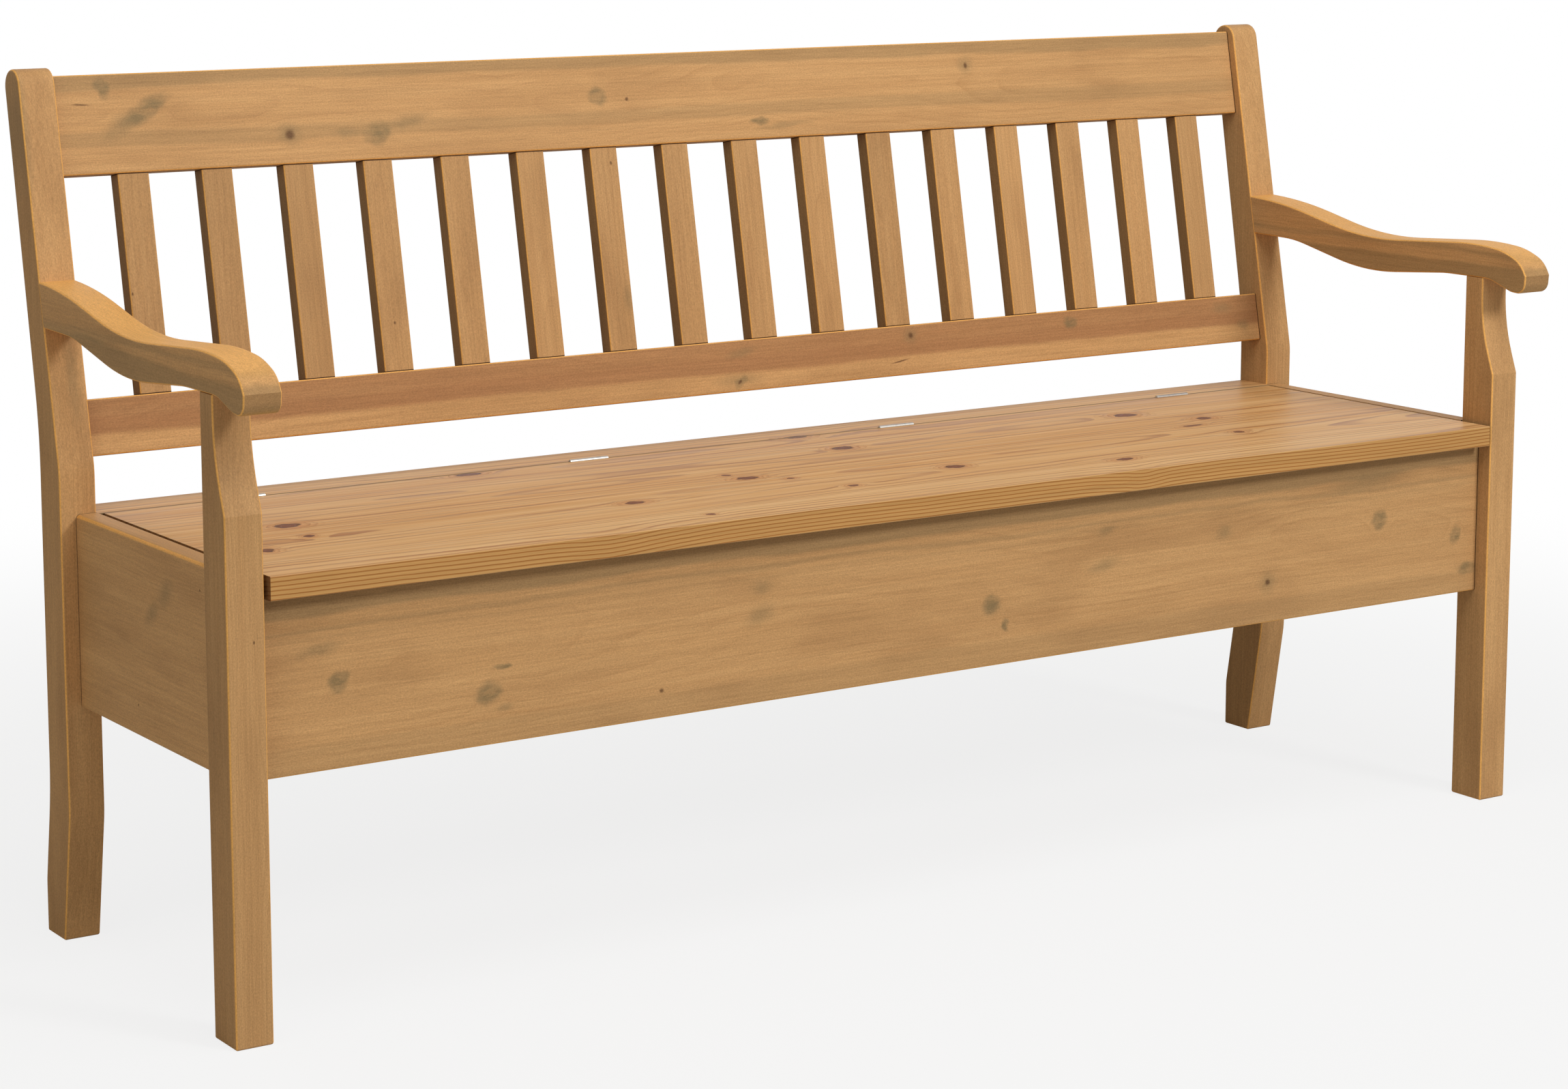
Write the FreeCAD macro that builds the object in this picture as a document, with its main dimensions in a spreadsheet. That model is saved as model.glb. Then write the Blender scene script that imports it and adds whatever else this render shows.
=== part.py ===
import FreeCAD, Part
import math
import os
import Sketcher

# A pine storage bench: four posts, curved arms, a raked slatted back and a seat that lifts
# on four butt hinges over a chest. Millimetres, +Z up, front towards -Y.
# Depths are measured backwards from the noses of the arms, which reach furthest forward.

doc = FreeCAD.newDocument("storage_bench")

# Driving dimensions: one row each, with the alias that the expressions use

SIZES = (
    ("bench_length", 1702, "over the posts, left to right"),
    ("post_width", 40.5, "every post and arm, left to right"),
    ("edge_radius", 2.5, "worn round edges of posts and arms"),
    ("board_edge_radius", 2, "eased edges of boards and slats"),
    ("front_post_depth", 49.5, "front posts, front to back"),
    ("arm_rise", 176, "seat to the top of the front posts, where the arms sit"),
    ("waist_rise", 61.5, "seat to the shoulder where the front posts start to narrow"),
    ("waist_cut", 21, "how much the narrowed part is cut back"),
    ("waist_bend", 58.5, "height of the cut's slanted run over the shoulder"),
    ("waist_radius", 210, "hollow of that cut"),
    ("side_depth", 402, "front faces of front posts to front faces of back posts"),
    ("back_post_depth", 52, "back posts at seat level, front to back"),
    ("back_post_top_depth", 38.5, "back posts at the top, square to the lean"),
    ("foot_depth", 46, "back posts at the floor, front to back"),
    ("foot_kick", 23, "how far the back feet are set back"),
    ("foot_bend", 140, "height where the front of the back feet starts to slant"),
    ("foot_bend_radius", 120, "that bend"),
    ("heel_bend", 57, "height where the rear of the back feet starts to slant"),
    ("heel_radius", 60, "that bend"),
    ("calf_bend", 160, "height where the rear of the back feet stops slanting"),
    ("calf_radius", 400, "that bend"),
    ("rake_angle", 11, "lean of the back, in degrees"),
    ("rear_rake_angle", 10.2, "lean of the back posts' rear faces, in degrees"),
    ("rake_rise", 46.5, "seat to the bend where the front of the back posts starts to lean"),
    ("rake_bend_radius", 80, "that bend"),
    ("rear_bend_radius", 500, "the same bend on the rear"),
    ("rake_length", 424, "bend to the top of the back posts, along the lean"),
    ("crest_radius", 18.5, "round tops of the back posts"),
    ("nose_reach", 48.5, "how far the arms reach ahead of the front posts"),
    ("arm_height", 65.5, "front posts' top to the top of the arm's rear end"),
    ("arm_flat_ahead", 9, "flat underside of the arm ahead of the narrowed post"),
    ("arm_flat_behind", 37, "flat underside of the arm behind the front post"),
    ("arm_brow_radius", 620, "long bend on top, by the back post"),
    ("arm_hollow_radius", 450, "long hollow on top"),
    ("arm_crest_radius", 400, "bend on top, over the front post"),
    ("arm_belly_radius", 350, "long bend underneath"),
    ("arm_bend_radius", 200, "short bends underneath"),
    ("nose_top_radius", 100, "start of the nose's roll"),
    ("nose_roll_radius", 36, "roll of the nose"),
    ("nose_neck_radius", 52, "bend underneath, ahead of the front post"),
    ("nose_under_radius", 28, "hollow under the nose"),
    ("nose_tip_radius", 13, "lower edge of the nose"),
    ("arm_tenon_thickness", 12, "tenons that hold the arm, left to right"),
    ("arm_tenon_height", 30, "the arm's rear tenon, up and down"),
    ("arm_tenon_length", 22, "the arm's rear tenon in the back post"),
    ("post_tenon_height", 20, "the front post's tenon in the arm"),
    ("post_tenon_shoulder", 5, "wood left before and behind that tenon"),
    ("seat_height", 463.5, "top of the lid"),
    ("lid_thickness", 24, "lid and rear seat strip"),
    ("lid_overhang", 3, "lid ahead of the front posts"),
    ("lid_end_gap", 5, "lid to posts at each end"),
    ("lid_joint_gap", 1.5, "lid to rear strip"),
    ("lid_rest_gap", 0.3, "lid to the front apron under it"),
    ("joint_setback", 7, "that joint ahead of the back posts"),
    ("strip_inset", 4, "rear strip ahead of the posts' rear faces"),
    ("chest_underside", 259, "underside of apron and panels over the floor"),
    ("board_thickness", 23, "apron, side panels and rear panel"),
    ("panel_edge_radius", 5, "outer top edge of the side panels"),
    ("apron_recess", 19.5, "apron behind the posts' front faces"),
    ("rear_panel_recess", 15, "rear panel ahead of the posts' rear faces"),
    ("tongue_length", 10, "tongues of boards in the posts"),
    ("tongue_thickness", 9, "those tongues"),
    ("tongue_shoulder", 15, "wood left over and under those tongues"),
    ("fit_gap", 0.1, "glue gap on each cheek of a joint"),
    ("mortise_spare", 1, "spare depth at the end of a mortise"),
    ("overrun", 2, "how far a cutting tool passes a face"),
    ("rail_recess", 11, "back rails behind the leaning front of the posts"),
    ("rail_thickness", 24, "both back rails"),
    ("lower_rail_start", 13.2, "bend of the posts to the lower rail, along the lean"),
    ("lower_rail_width", 60, "lower back rail"),
    ("top_rail_width", 106, "top back rail"),
    ("rail_tenon_length", 22, "rail tenons in the back posts"),
    ("rail_tenon_thickness", 10, "those tenons"),
    ("rail_tenon_shoulder", 10, "wood left over and under those tenons"),
    ("slat_length", 235.5, "slats between the rails"),
    ("slat_width", 36, "slats, left to right"),
    ("slat_thickness", 20, "slats, front to back"),
    ("slat_inset", 83, "middles of the end slats to the posts"),
    ("slat_count", 16, "slats in the back"),
    ("slat_tenon_length", 12, "slat tenons in the rails"),
    ("slat_tenon_thickness", 10, "those tenons"),
    ("slat_tenon_shoulder", 5, "wood left beside those tenons"),
    ("batten_width", 45, "battens under the lid"),
    ("batten_thickness", 18, "battens under the lid"),
    ("batten_clearance", 25, "batten ends to the apron and the joint"),
    ("batten_inset", 250.5, "middles of the end battens to the posts"),
    ("batten_count", 3, "battens under the lid"),
    ("batten_edge_radius", 2.5, "eased lower edges of the battens"),
    ("ledge_size", 20, "square ledges round the chest's bottom"),
    ("ledge_lift", 3, "ledges over the underside of the panels"),
    ("bearer_width", 45, "bearer under the middle of the bottom"),
    ("bottom_thickness", 10, "bottom boards of the chest"),
    ("bottom_gap", 1, "bottom boards to the walls and each other"),
    ("hinge_length", 50, "each butt hinge"),
    ("hinge_inset", 165.5, "middles of the end hinges to the posts"),
    ("hinge_count", 4, "hinges along the joint"),
    ("knuckle_count", 5, "knuckles of a hinge"),
    ("knuckle_radius", 2.5, "outside of the knuckles"),
    ("knuckle_gap", 0.2, "knuckle to knuckle"),
    ("pin_radius", 1.25, "hinge pins"),
    ("pin_clearance", 0.05, "pin to bore, on the radius"),
    ("barrel_clearance", 0.5, "wood and leaves to the turning knuckles"),
    ("leaf_thickness", 1.2, "hinge leaves"),
    ("leaf_height", 17, "hinge leaves below the pin"),
    ("leaf_gap", 0.2, "leaf to leaf when the lid is down"),
    ("screw_radius", 1.5, "hinge screws"),
    ("screw_head_radius", 2.7, "hinge screws"),
    ("screw_length", 16, "hinge screws"),
    ("screw_offset", 15, "hinge screws to the middle of the hinge"),
    ("screw_clearance", 0.05, "screw to hole, on the radius"),
    ("wood_screw_radius", 2, "screws of ledges and battens"),
    ("wood_screw_head_radius", 4, "screws of ledges and battens"),
    ("wood_screw_head_depth", 2.4, "screws of ledges and battens"),
    ("wood_screw_length", 32, "screws of ledges and battens"),
    ("ledge_screw_inset", 70, "first ledge screw to the ledge's end"),
    ("ledge_screw_count", 5, "screws of a long ledge"),
    ("batten_screw_count", 3, "screws of a batten"),
    ("batten_screw_inset", 30, "first batten screw to the batten's end"),
)

# Places worked out from the driving dimensions

PLACES = (
    ("outer_face", "Sizes.bench_length / 2", "x of the posts' outer faces"),
    ("inner_face", "outer_face - Sizes.post_width", "x of the posts' inner faces"),
    ("front_face", "Sizes.nose_reach", "depth of the front posts' front faces"),
    ("front_post_rear", "front_face + Sizes.front_post_depth", "their rear faces"),
    ("back_face", "front_face + Sizes.side_depth", "depth of the back posts' front faces"),
    ("back_rear", "back_face + Sizes.back_post_depth", "their rear faces at the seat"),
    ("arm_seat_height", "Sizes.seat_height + Sizes.arm_rise", "top of the front posts"),
    ("waist_height", "Sizes.seat_height + Sizes.waist_rise", "shoulder of the front posts"),
    ("rake_height", "Sizes.seat_height + Sizes.rake_rise", "bend of the back posts"),
    ("lean_sin", "sin(Sizes.rake_angle)", "backwards run of the lean"),
    ("lean_cos", "cos(Sizes.rake_angle)", "upwards run of the lean"),
    ("top_front", "back_face + Sizes.rake_length * lean_sin", "depth of the posts' top corner"),
    ("top_height", "rake_height + Sizes.rake_length * lean_cos", "height of that corner"),
    ("top_rear", "top_front + Sizes.back_post_top_depth * lean_cos", "rear corner of the top"),
    ("top_rear_height", "top_height - Sizes.back_post_top_depth * lean_sin", "its height"),
    ("rear_bend", "top_rear_height - (top_rear - back_rear) / tan(Sizes.rear_rake_angle)",
     "height where the rear of the back posts starts to lean"),
    ("crest_in", "Sizes.crest_radius * (lean_cos + sin(Sizes.rear_rake_angle))"
                 " / cos(Sizes.rake_angle - Sizes.rear_rake_angle)", "rear corner to the centre"),
    ("overall_depth", "top_rear - crest_in + Sizes.crest_radius",
     "nose of the arm to the back's top"),
    ("lid_underside", "Sizes.seat_height - Sizes.lid_thickness", "under the lid and strip"),
    ("joint_line", "back_face - Sizes.joint_setback", "depth of the hinge pins"),
    ("apron_front", "front_face + Sizes.apron_recess", "depth of the apron's face"),
    ("apron_rear", "apron_front + Sizes.board_thickness", "chest wall in front"),
    ("apron_top", "lid_underside - Sizes.lid_rest_gap", "top edge of the apron"),
    ("rear_panel_rear", "back_rear - Sizes.rear_panel_recess", "outer face of the rear panel"),
    ("rear_panel_front", "rear_panel_rear - Sizes.board_thickness", "chest wall behind"),
    ("slat_low", "Sizes.lower_rail_start + Sizes.lower_rail_width", "slats' lower ends"),
    ("slat_high", "slat_low + Sizes.slat_length", "slats' upper ends"),
    ("rail_middle", "Sizes.rail_recess + Sizes.rail_thickness / 2", "middle of the rails"),
    ("first_slat", "Sizes.slat_inset - inner_face", "x of the first slat"),
    ("slat_pitch", "-2 * first_slat / (Sizes.slat_count - 1)", "slat to slat"),
    ("first_hinge", "Sizes.hinge_inset - inner_face", "x of the first hinge"),
    ("hinge_spacing", "-2 * first_hinge / (Sizes.hinge_count - 1)", "hinge to hinge"),
    ("knuckle_pitch", "Sizes.hinge_length / Sizes.knuckle_count", "knuckle to knuckle"),
    ("leaf_inner", "Sizes.leaf_gap / 2", "leaves' inner faces to the joint line"),
    ("leaf_outer", "leaf_inner + Sizes.leaf_thickness", "leaves' seats to the joint line"),
    ("leaf_low", "Sizes.seat_height - Sizes.leaf_height", "leaves' lower edges"),
    ("barrel_room", "Sizes.knuckle_radius + Sizes.barrel_clearance", "radius kept free"),
    ("screw_level", "Sizes.seat_height - Sizes.leaf_height / 2 - Sizes.knuckle_radius / 2",
     "height of the hinge screws"),
    ("batten_start", "apron_rear + Sizes.batten_clearance", "front ends of the battens"),
    ("batten_end", "joint_line - Sizes.batten_clearance", "rear ends of the battens"),
    ("batten_low", "lid_underside - Sizes.batten_thickness", "lower faces of the battens"),
    ("first_batten", "Sizes.batten_inset - inner_face", "x of the first batten"),
    ("batten_pitch", "-2 * first_batten / (Sizes.batten_count - 1)", "batten to batten"),
    ("batten_screw_start", "batten_start + Sizes.batten_screw_inset", "first batten screw"),
    ("batten_screw_run", "batten_end - Sizes.batten_screw_inset - batten_screw_start",
     "first to last batten screw"),
    ("ledge_low", "Sizes.chest_underside + Sizes.ledge_lift", "lower faces of the ledges"),
    ("ledge_top", "ledge_low + Sizes.ledge_size", "the bottom lies here"),
    ("ledge_middle", "ledge_low + Sizes.ledge_size / 2", "height of the ledge screws"),
    ("ledge_screw_run", "2 * (inner_face - Sizes.ledge_screw_inset)", "first to last screw"),
)


def fill(sheet, rows):
    """Writes one row each of note and value, and gives the value its alias."""
    for row, (alias, value, note) in enumerate(rows, 1):
        sheet.set(f"A{row}", note)
        sheet.set(f"B{row}", str(value))
        sheet.setAlias(f"B{row}", alias)


sizes = doc.addObject("Spreadsheet::Sheet", "Sizes")
fill(sizes, SIZES)
places = doc.addObject("Spreadsheet::Sheet", "Places")
fill(places, [(alias, "=" + formula, note) for alias, formula, note in PLACES])
doc.recompute()

MIDDLE = "Places.overall_depth / 2"
SIDES = (("left", -1), ("right", 1))
ALONG_X = FreeCAD.Rotation(FreeCAD.Vector(0, 1, 0), 90)
BACKWARDS = FreeCAD.Rotation(FreeCAD.Vector(1, 0, 0), -90)
FORWARDS = FreeCAD.Rotation(FreeCAD.Vector(1, 0, 0), 90)
UPWARDS = FreeCAD.Rotation()
LEAN_AXIS = FreeCAD.Vector(-1, 0, 0)
SAME = 1e-6
STRAIGHT_share = 0.999
parts = {}


def value(expression):
    """The number that an expression on the sheets has now."""
    return float(sizes.evalExpression(expression))


def bind(thing, **expressions):
    """Ties properties of an object to expressions on the sheets."""
    for name, expression in expressions.items():
        thing.setExpression(name, expression)


def move(thing, x, depth, z):
    """Ties an object's place to the sheets."""
    for axis, expression in (("x", x), ("y", depth), ("z", z)):
        thing.setExpression(f"Placement.Base.{axis}", expression)


def new_body(label):
    """A piece built level, its depths counted from the arms' noses."""
    body = doc.addObject("PartDesign::Body", label)
    body.Label = label
    body.AllowCompound = True
    move(body, "0", f"-{MIDDLE}", "0")
    parts[label] = body
    return body


def lean_back(thing):
    """Turns an object to the lean of the back."""
    thing.Placement.Rotation = FreeCAD.Rotation(LEAN_AXIS, value("Sizes.rake_angle"))
    thing.setExpression("Placement.Rotation.Angle", "Sizes.rake_angle")


def new_leaning_body(label):
    """A piece of the leaning back: its y runs square to the lean and its z along it."""
    body = new_body(label)
    move(body, "0", f"Places.back_face - {MIDDLE}", "Places.rake_height")
    lean_back(body)
    return body


def origin_feature(body, role):
    return next(feature for feature in body.Origin.OriginFeatures if feature.Role == role)


def block(body, x, depth, z, cut=False):
    """Adds or cuts a box. x, depth and z are each a (start, end) pair of expressions."""
    kind = "PartDesign::SubtractiveBox" if cut else "PartDesign::AdditiveBox"
    box = body.newObject(kind, "Cut" if cut else "Block")
    move(box, x[0], depth[0], z[0])
    bind(box, Length=f"({x[1]}) - ({x[0]})", Width=f"({depth[1]}) - ({depth[0]})",
         Height=f"({z[1]}) - ({z[0]})")
    return box


def rod(body, radius, length, x, depth, z, turn, cut=False):
    """Adds or cuts a round bar that starts at a point and runs the way that turn gives."""
    kind = "PartDesign::SubtractiveCylinder" if cut else "PartDesign::AdditiveCylinder"
    bar = body.newObject(kind, "Bore" if cut else "Rod")
    bar.Placement.Rotation = turn
    move(bar, x, depth, z)
    bind(bar, Radius=radius, Height=length)
    return bar


def taper(body, wide, narrow, length, x, depth, z, turn, cut=False):
    """Adds or cuts a screw's countersunk head."""
    kind = "PartDesign::SubtractiveCone" if cut else "PartDesign::AdditiveCone"
    cone = body.newObject(kind, "Countersink" if cut else "Head")
    cone.Placement.Rotation = turn
    move(cone, x, depth, z)
    bind(cone, Radius1=wide, Radius2=narrow, Height=length)
    return cone


def repeat(body, features, axis, count, run):
    """Repeats features along an axis of the body, count times over a run."""
    pattern = body.newObject("PartDesign::LinearPattern", "Row")
    pattern.Originals = features
    pattern.Direction = (origin_feature(body, f"{axis}_Axis"), [""])
    bind(pattern, Length=run, Occurrences=count)
    body.Tip = pattern
    doc.recompute()
    return pattern


def ease(body, radius, wanted):
    """Rounds the edges of the body so far that the test wants."""
    doc.recompute()
    base = body.Tip
    names = [f"Edge{number}" for number, edge in enumerate(base.Shape.Edges, 1) if wanted(edge)]
    fillet = body.newObject("PartDesign::Fillet", "Eased")
    fillet.Base = (base, names)
    fillet.setExpression("Radius", radius)
    return fillet


def ends(edge):
    """The first and last point of an edge."""
    return edge.firstVertex().Point, edge.lastVertex().Point


def runs_along(axis):
    """A test for the edges that run along one axis."""
    def test(edge):
        start, end = ends(edge)
        run = end - start
        return abs(run[axis]) > STRAIGHT_share * edge.Length
    return test


def near(number, other):
    return abs(number - other) < SAME


def outline(body, corners, x_start):
    """Draws a closed side outline. Each corner is (depth, height, radius or None)."""
    sketch = body.newObject("Sketcher::SketchObject", "Outline")
    sketch.AttachmentSupport = (origin_feature(body, "YZ_Plane"), [""])
    sketch.MapMode = "FlatFace"
    sketch.setExpression("AttachmentOffset.Base.z", x_start)
    points = [FreeCAD.Vector(value(depth), value(height), 0) for depth, height, _ in corners]
    entries, exits, arcs = [], [], []
    for number, (point, corner) in enumerate(zip(points, corners)):
        to_last = (points[number - 1] - point).normalize()
        to_next = (points[(number + 1) % len(points)] - point).normalize()
        radius = value(corner[2]) if corner[2] else 0
        half_turn = (math.pi - to_last.getAngle(to_next)) / 2
        entries.append(point + to_last * (radius * math.tan(half_turn)))
        exits.append(point + to_next * (radius * math.tan(half_turn)))
        bisector = (to_last + to_next).normalize()
        centre = point + bisector * (radius / math.cos(half_turn))
        left_turn = to_last.cross(to_next).z < 0
        arcs.append((centre, radius, left_turn))
    lines = []
    for number, start in enumerate(exits):
        end = entries[(number + 1) % len(points)]
        lines.append(sketch.addGeometry(Part.LineSegment(start, end)))
    for number, (centre, radius, left_turn) in enumerate(arcs):
        before, after = lines[number - 1], lines[number]
        depth, height, radius_expression = corners[number]
        if radius:
            first, last = (entries, exits) if left_turn else (exits, entries)
            angles = [math.atan2(*reversed((end[number] - centre)[:2])) for end in (first, last)]
            circle = Part.Circle(centre, FreeCAD.Vector(0, 0, 1), radius)
            arc = sketch.addGeometry(Part.ArcOfCircle(circle, *angles))
            corner, spot = sketch.addGeometry(Part.Point(points[number]), True), 1
            arc_entry, arc_exit = (1, 2) if left_turn else (2, 1)
            sketch.addConstraint(Sketcher.Constraint("Tangent", before, 2, arc, arc_entry))
            sketch.addConstraint(Sketcher.Constraint("Tangent", arc, arc_exit, after, 1))
            sketch.addConstraint(Sketcher.Constraint("PointOnObject", corner, 1, before))
            sketch.addConstraint(Sketcher.Constraint("PointOnObject", corner, 1, after))
            number_of = sketch.addConstraint(Sketcher.Constraint("Radius", arc, radius))
            sketch.setExpression(f"Constraints[{number_of}]", radius_expression)
        else:
            sketch.addConstraint(Sketcher.Constraint("Coincident", before, 2, after, 1))
            corner, spot = after, 1
        for way, size, expression in (("DistanceX", points[number].x, depth),
                                      ("DistanceY", points[number].y, height)):
            number_of = sketch.addConstraint(Sketcher.Constraint(way, -1, 1, corner, spot, size))
            sketch.setExpression(f"Constraints[{number_of}]", expression)
    return sketch


def pad(body, corners, x_start, width):
    """Cuts a side outline from a plank: the outline's thickness runs along X."""
    sketch = outline(body, corners, x_start)
    solid = body.newObject("PartDesign::Pad", "Plank")
    solid.Profile = sketch
    solid.setExpression("Length", width)
    sketch.Visibility = False
    return solid


def span(low, high, side):
    """An (start, end) pair along X, mirrored to the left side where side is -1."""
    return (low, high) if side > 0 else (f"-({high})", f"-({low})")


def widened(pair, gap="Sizes.fit_gap"):
    """A pair with a gap added at both ends."""
    return f"{pair[0]} - {gap}", f"{pair[1]} + {gap}"


# Where the joints of the frame lie, used by both pieces of each joint

TONGUE_HALF = "Sizes.tongue_thickness / 2"
BOARD_HALF = "Sizes.board_thickness / 2"
SIDE_PANEL_MIDDLE = f"Places.inner_face + {BOARD_HALF}"
SIDE_TONGUE = (f"{SIDE_PANEL_MIDDLE} - {TONGUE_HALF}", f"{SIDE_PANEL_MIDDLE} + {TONGUE_HALF}")
APRON_TONGUE = (f"Places.apron_front + {BOARD_HALF} - {TONGUE_HALF}",
                f"Places.apron_front + {BOARD_HALF} + {TONGUE_HALF}")
REAR_TONGUE = (f"Places.rear_panel_front + {BOARD_HALF} - {TONGUE_HALF}",
               f"Places.rear_panel_front + {BOARD_HALF} + {TONGUE_HALF}")
TONGUE_LOW = "Sizes.chest_underside + Sizes.tongue_shoulder"
APRON_TONGUE_RISE = (TONGUE_LOW, "Places.apron_top - Sizes.tongue_shoulder")
REAR_TONGUE_RISE = (TONGUE_LOW, "Places.lid_underside - Sizes.tongue_shoulder")
SIDE_TONGUE_RISE = (TONGUE_LOW, "Sizes.seat_height - Sizes.tongue_shoulder")
MORTISE_REACH = "Sizes.tongue_length + Sizes.mortise_spare"
POST_MIDDLE = "Places.inner_face + Sizes.post_width / 2"
ARM_TENON = (f"{POST_MIDDLE} - Sizes.arm_tenon_thickness / 2",
             f"{POST_MIDDLE} + Sizes.arm_tenon_thickness / 2")
ARM_TOP = "Places.arm_seat_height + Sizes.arm_height"
ARM_UNDER_share = 0.272
ARM_UNDER = f"Places.arm_seat_height + {ARM_UNDER_share} * Sizes.arm_height"
ARM_MIDDLE = f"(({ARM_TOP}) + ({ARM_UNDER})) / 2"
ARM_TENON_RISE = (f"{ARM_MIDDLE} - Sizes.arm_tenon_height / 2",
                  f"{ARM_MIDDLE} + Sizes.arm_tenon_height / 2")
POST_TENON = ("Places.front_face + Sizes.waist_cut + Sizes.post_tenon_shoulder",
              "Places.front_post_rear - Sizes.post_tenon_shoulder")
RAIL_TENON = ("Places.rail_middle - Sizes.rail_tenon_thickness / 2",
              "Places.rail_middle + Sizes.rail_tenon_thickness / 2")
SLAT_TENON = ("Places.rail_middle - Sizes.slat_tenon_thickness / 2",
              "Places.rail_middle + Sizes.slat_tenon_thickness / 2")
LOWER_RAIL = ("Sizes.lower_rail_start", "Places.slat_low")
TOP_RAIL = ("Places.slat_high", "Places.slat_high + Sizes.top_rail_width")


def lean_depth(height):
    """Depth of the back posts' leaning front face at a height."""
    return f"Places.back_face + tan(Sizes.rake_angle) * ({height} - Places.rake_height)"


def tenon_rise(rail):
    """The part of a rail's width that its tenons have."""
    return f"{rail[0]} + Sizes.rail_tenon_shoulder", f"{rail[1]} - Sizes.rail_tenon_shoulder"


# Front posts: square below, cut back in a hollow above the shoulder

def front_post(name, side):
    body = new_body(f"front_post_{name}")
    waist = "Places.front_face + Sizes.waist_cut"
    corners = (
        ("Places.front_face", "0", None),
        ("Places.front_post_rear", "0", None),
        ("Places.front_post_rear", "Places.arm_seat_height", None),
        (waist, "Places.arm_seat_height", None),
        (waist, "Places.waist_height + Sizes.waist_bend", "Sizes.waist_radius"),
        ("Places.front_face", "Places.waist_height", None),
    )
    width = span("Places.inner_face", "Places.outer_face", side)
    pad(body, corners, width[0], "Sizes.post_width")
    top = value("Places.arm_seat_height")

    def worn(edge):
        start, end = ends(edge)
        across = near(start.y, end.y) and near(start.z, end.z)
        at_top = near(start.z, top) and near(end.z, top)
        return near(start.z + end.z, 0) or not (across or at_top)

    ease(body, "Sizes.edge_radius", worn)
    block(body, span(*ARM_TENON, side), POST_TENON,
          ("Places.arm_seat_height - Sizes.overrun",
           "Places.arm_seat_height + Sizes.post_tenon_height"))
    block(body, span("Places.inner_face - Sizes.overrun",
                     f"Places.inner_face + {MORTISE_REACH}", side),
          widened(APRON_TONGUE), widened(APRON_TONGUE_RISE), cut=True)
    block(body, widened(span(*SIDE_TONGUE, side)),
          (f"Places.front_post_rear - ({MORTISE_REACH})", "Places.front_post_rear + Sizes.overrun"),
          widened(SIDE_TONGUE_RISE), cut=True)


# Back posts: a kicked foot, a straight run at the seat and a leaning run with a round top

def back_post(name, side):
    body = new_body(f"back_post_{name}")
    foot_front = "Places.back_face + Sizes.foot_kick"
    foot_rear = f"{foot_front} + Sizes.foot_depth"
    corners = (
        (foot_front, "0", None),
        (foot_rear, "0", None),
        (foot_rear, "Sizes.heel_bend", "Sizes.heel_radius"),
        ("Places.back_rear", "Sizes.calf_bend", "Sizes.calf_radius"),
        ("Places.back_rear", "Places.rear_bend", "Sizes.rear_bend_radius"),
        ("Places.top_rear", "Places.top_rear_height", "Sizes.crest_radius"),
        ("Places.top_front", "Places.top_height", "Sizes.crest_radius"),
        ("Places.back_face", "Places.rake_height", "Sizes.rake_bend_radius"),
        ("Places.back_face", "Sizes.foot_bend", "Sizes.foot_bend_radius"),
    )
    width = span("Places.inner_face", "Places.outer_face", side)
    pad(body, corners, width[0], "Sizes.post_width")

    def worn(edge):
        start, end = ends(edge)
        across = near(start.y, end.y) and near(start.z, end.z)
        return near(start.z + end.z, 0) or not across

    ease(body, "Sizes.edge_radius", worn)
    block(body, widened(span(*SIDE_TONGUE, side)),
          ("Places.back_face - Sizes.overrun", f"Places.back_face + {MORTISE_REACH}"),
          widened(SIDE_TONGUE_RISE), cut=True)
    block(body, span("Places.inner_face - Sizes.overrun",
                     f"Places.inner_face + {MORTISE_REACH}", side),
          widened(REAR_TONGUE), widened(REAR_TONGUE_RISE), cut=True)
    block(body, widened(span(*ARM_TENON, side)),
          (f"{lean_depth(ARM_UNDER)} - Sizes.overrun",
           f"{lean_depth(ARM_MIDDLE)} + Sizes.arm_tenon_length + Sizes.mortise_spare"),
          widened(ARM_TENON_RISE), cut=True)
    reach = span("Places.inner_face - Sizes.overrun",
                 "Places.inner_face + Sizes.rail_tenon_length + Sizes.mortise_spare", side)
    across, rises = widened(RAIL_TENON), (tenon_rise(LOWER_RAIL), tenon_rise(TOP_RAIL))
    for rise in map(widened, rises):
        mortise = block(body, reach, across, rise, cut=True)
        lean_back(mortise)
        move(mortise, reach[0],
             f"Places.back_face + ({across[0]}) * Places.lean_cos"
             f" + ({rise[0]}) * Places.lean_sin",
             f"Places.rake_height - ({across[0]}) * Places.lean_sin"
             f" + ({rise[0]}) * Places.lean_cos")


# Arms: sawn to a long S from a plank, with a rolled nose ahead of the front post.
# Depths are shares of the run from nose to back post, heights shares of the arm's height.

ARM_TOP_shares = ((0.956, 0.960), (0.614, 0.449), (0.196, 0.637), (0.087, 0.561), (0.020, 0.373))
ARM_TOP_RADII = ("arm_brow_radius", "arm_hollow_radius", "arm_crest_radius",
                 "nose_top_radius", "nose_roll_radius")
NOSE_CREASE_share = 0.130
NOSE_UNDER_shares = ((0.004, -0.206), (0.054, -0.188))
ARM_DIP_shares = ((0.607, -0.186), (0.901, 0.250))
ARM_DIP_RADII = ("arm_belly_radius", "arm_bend_radius")


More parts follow.
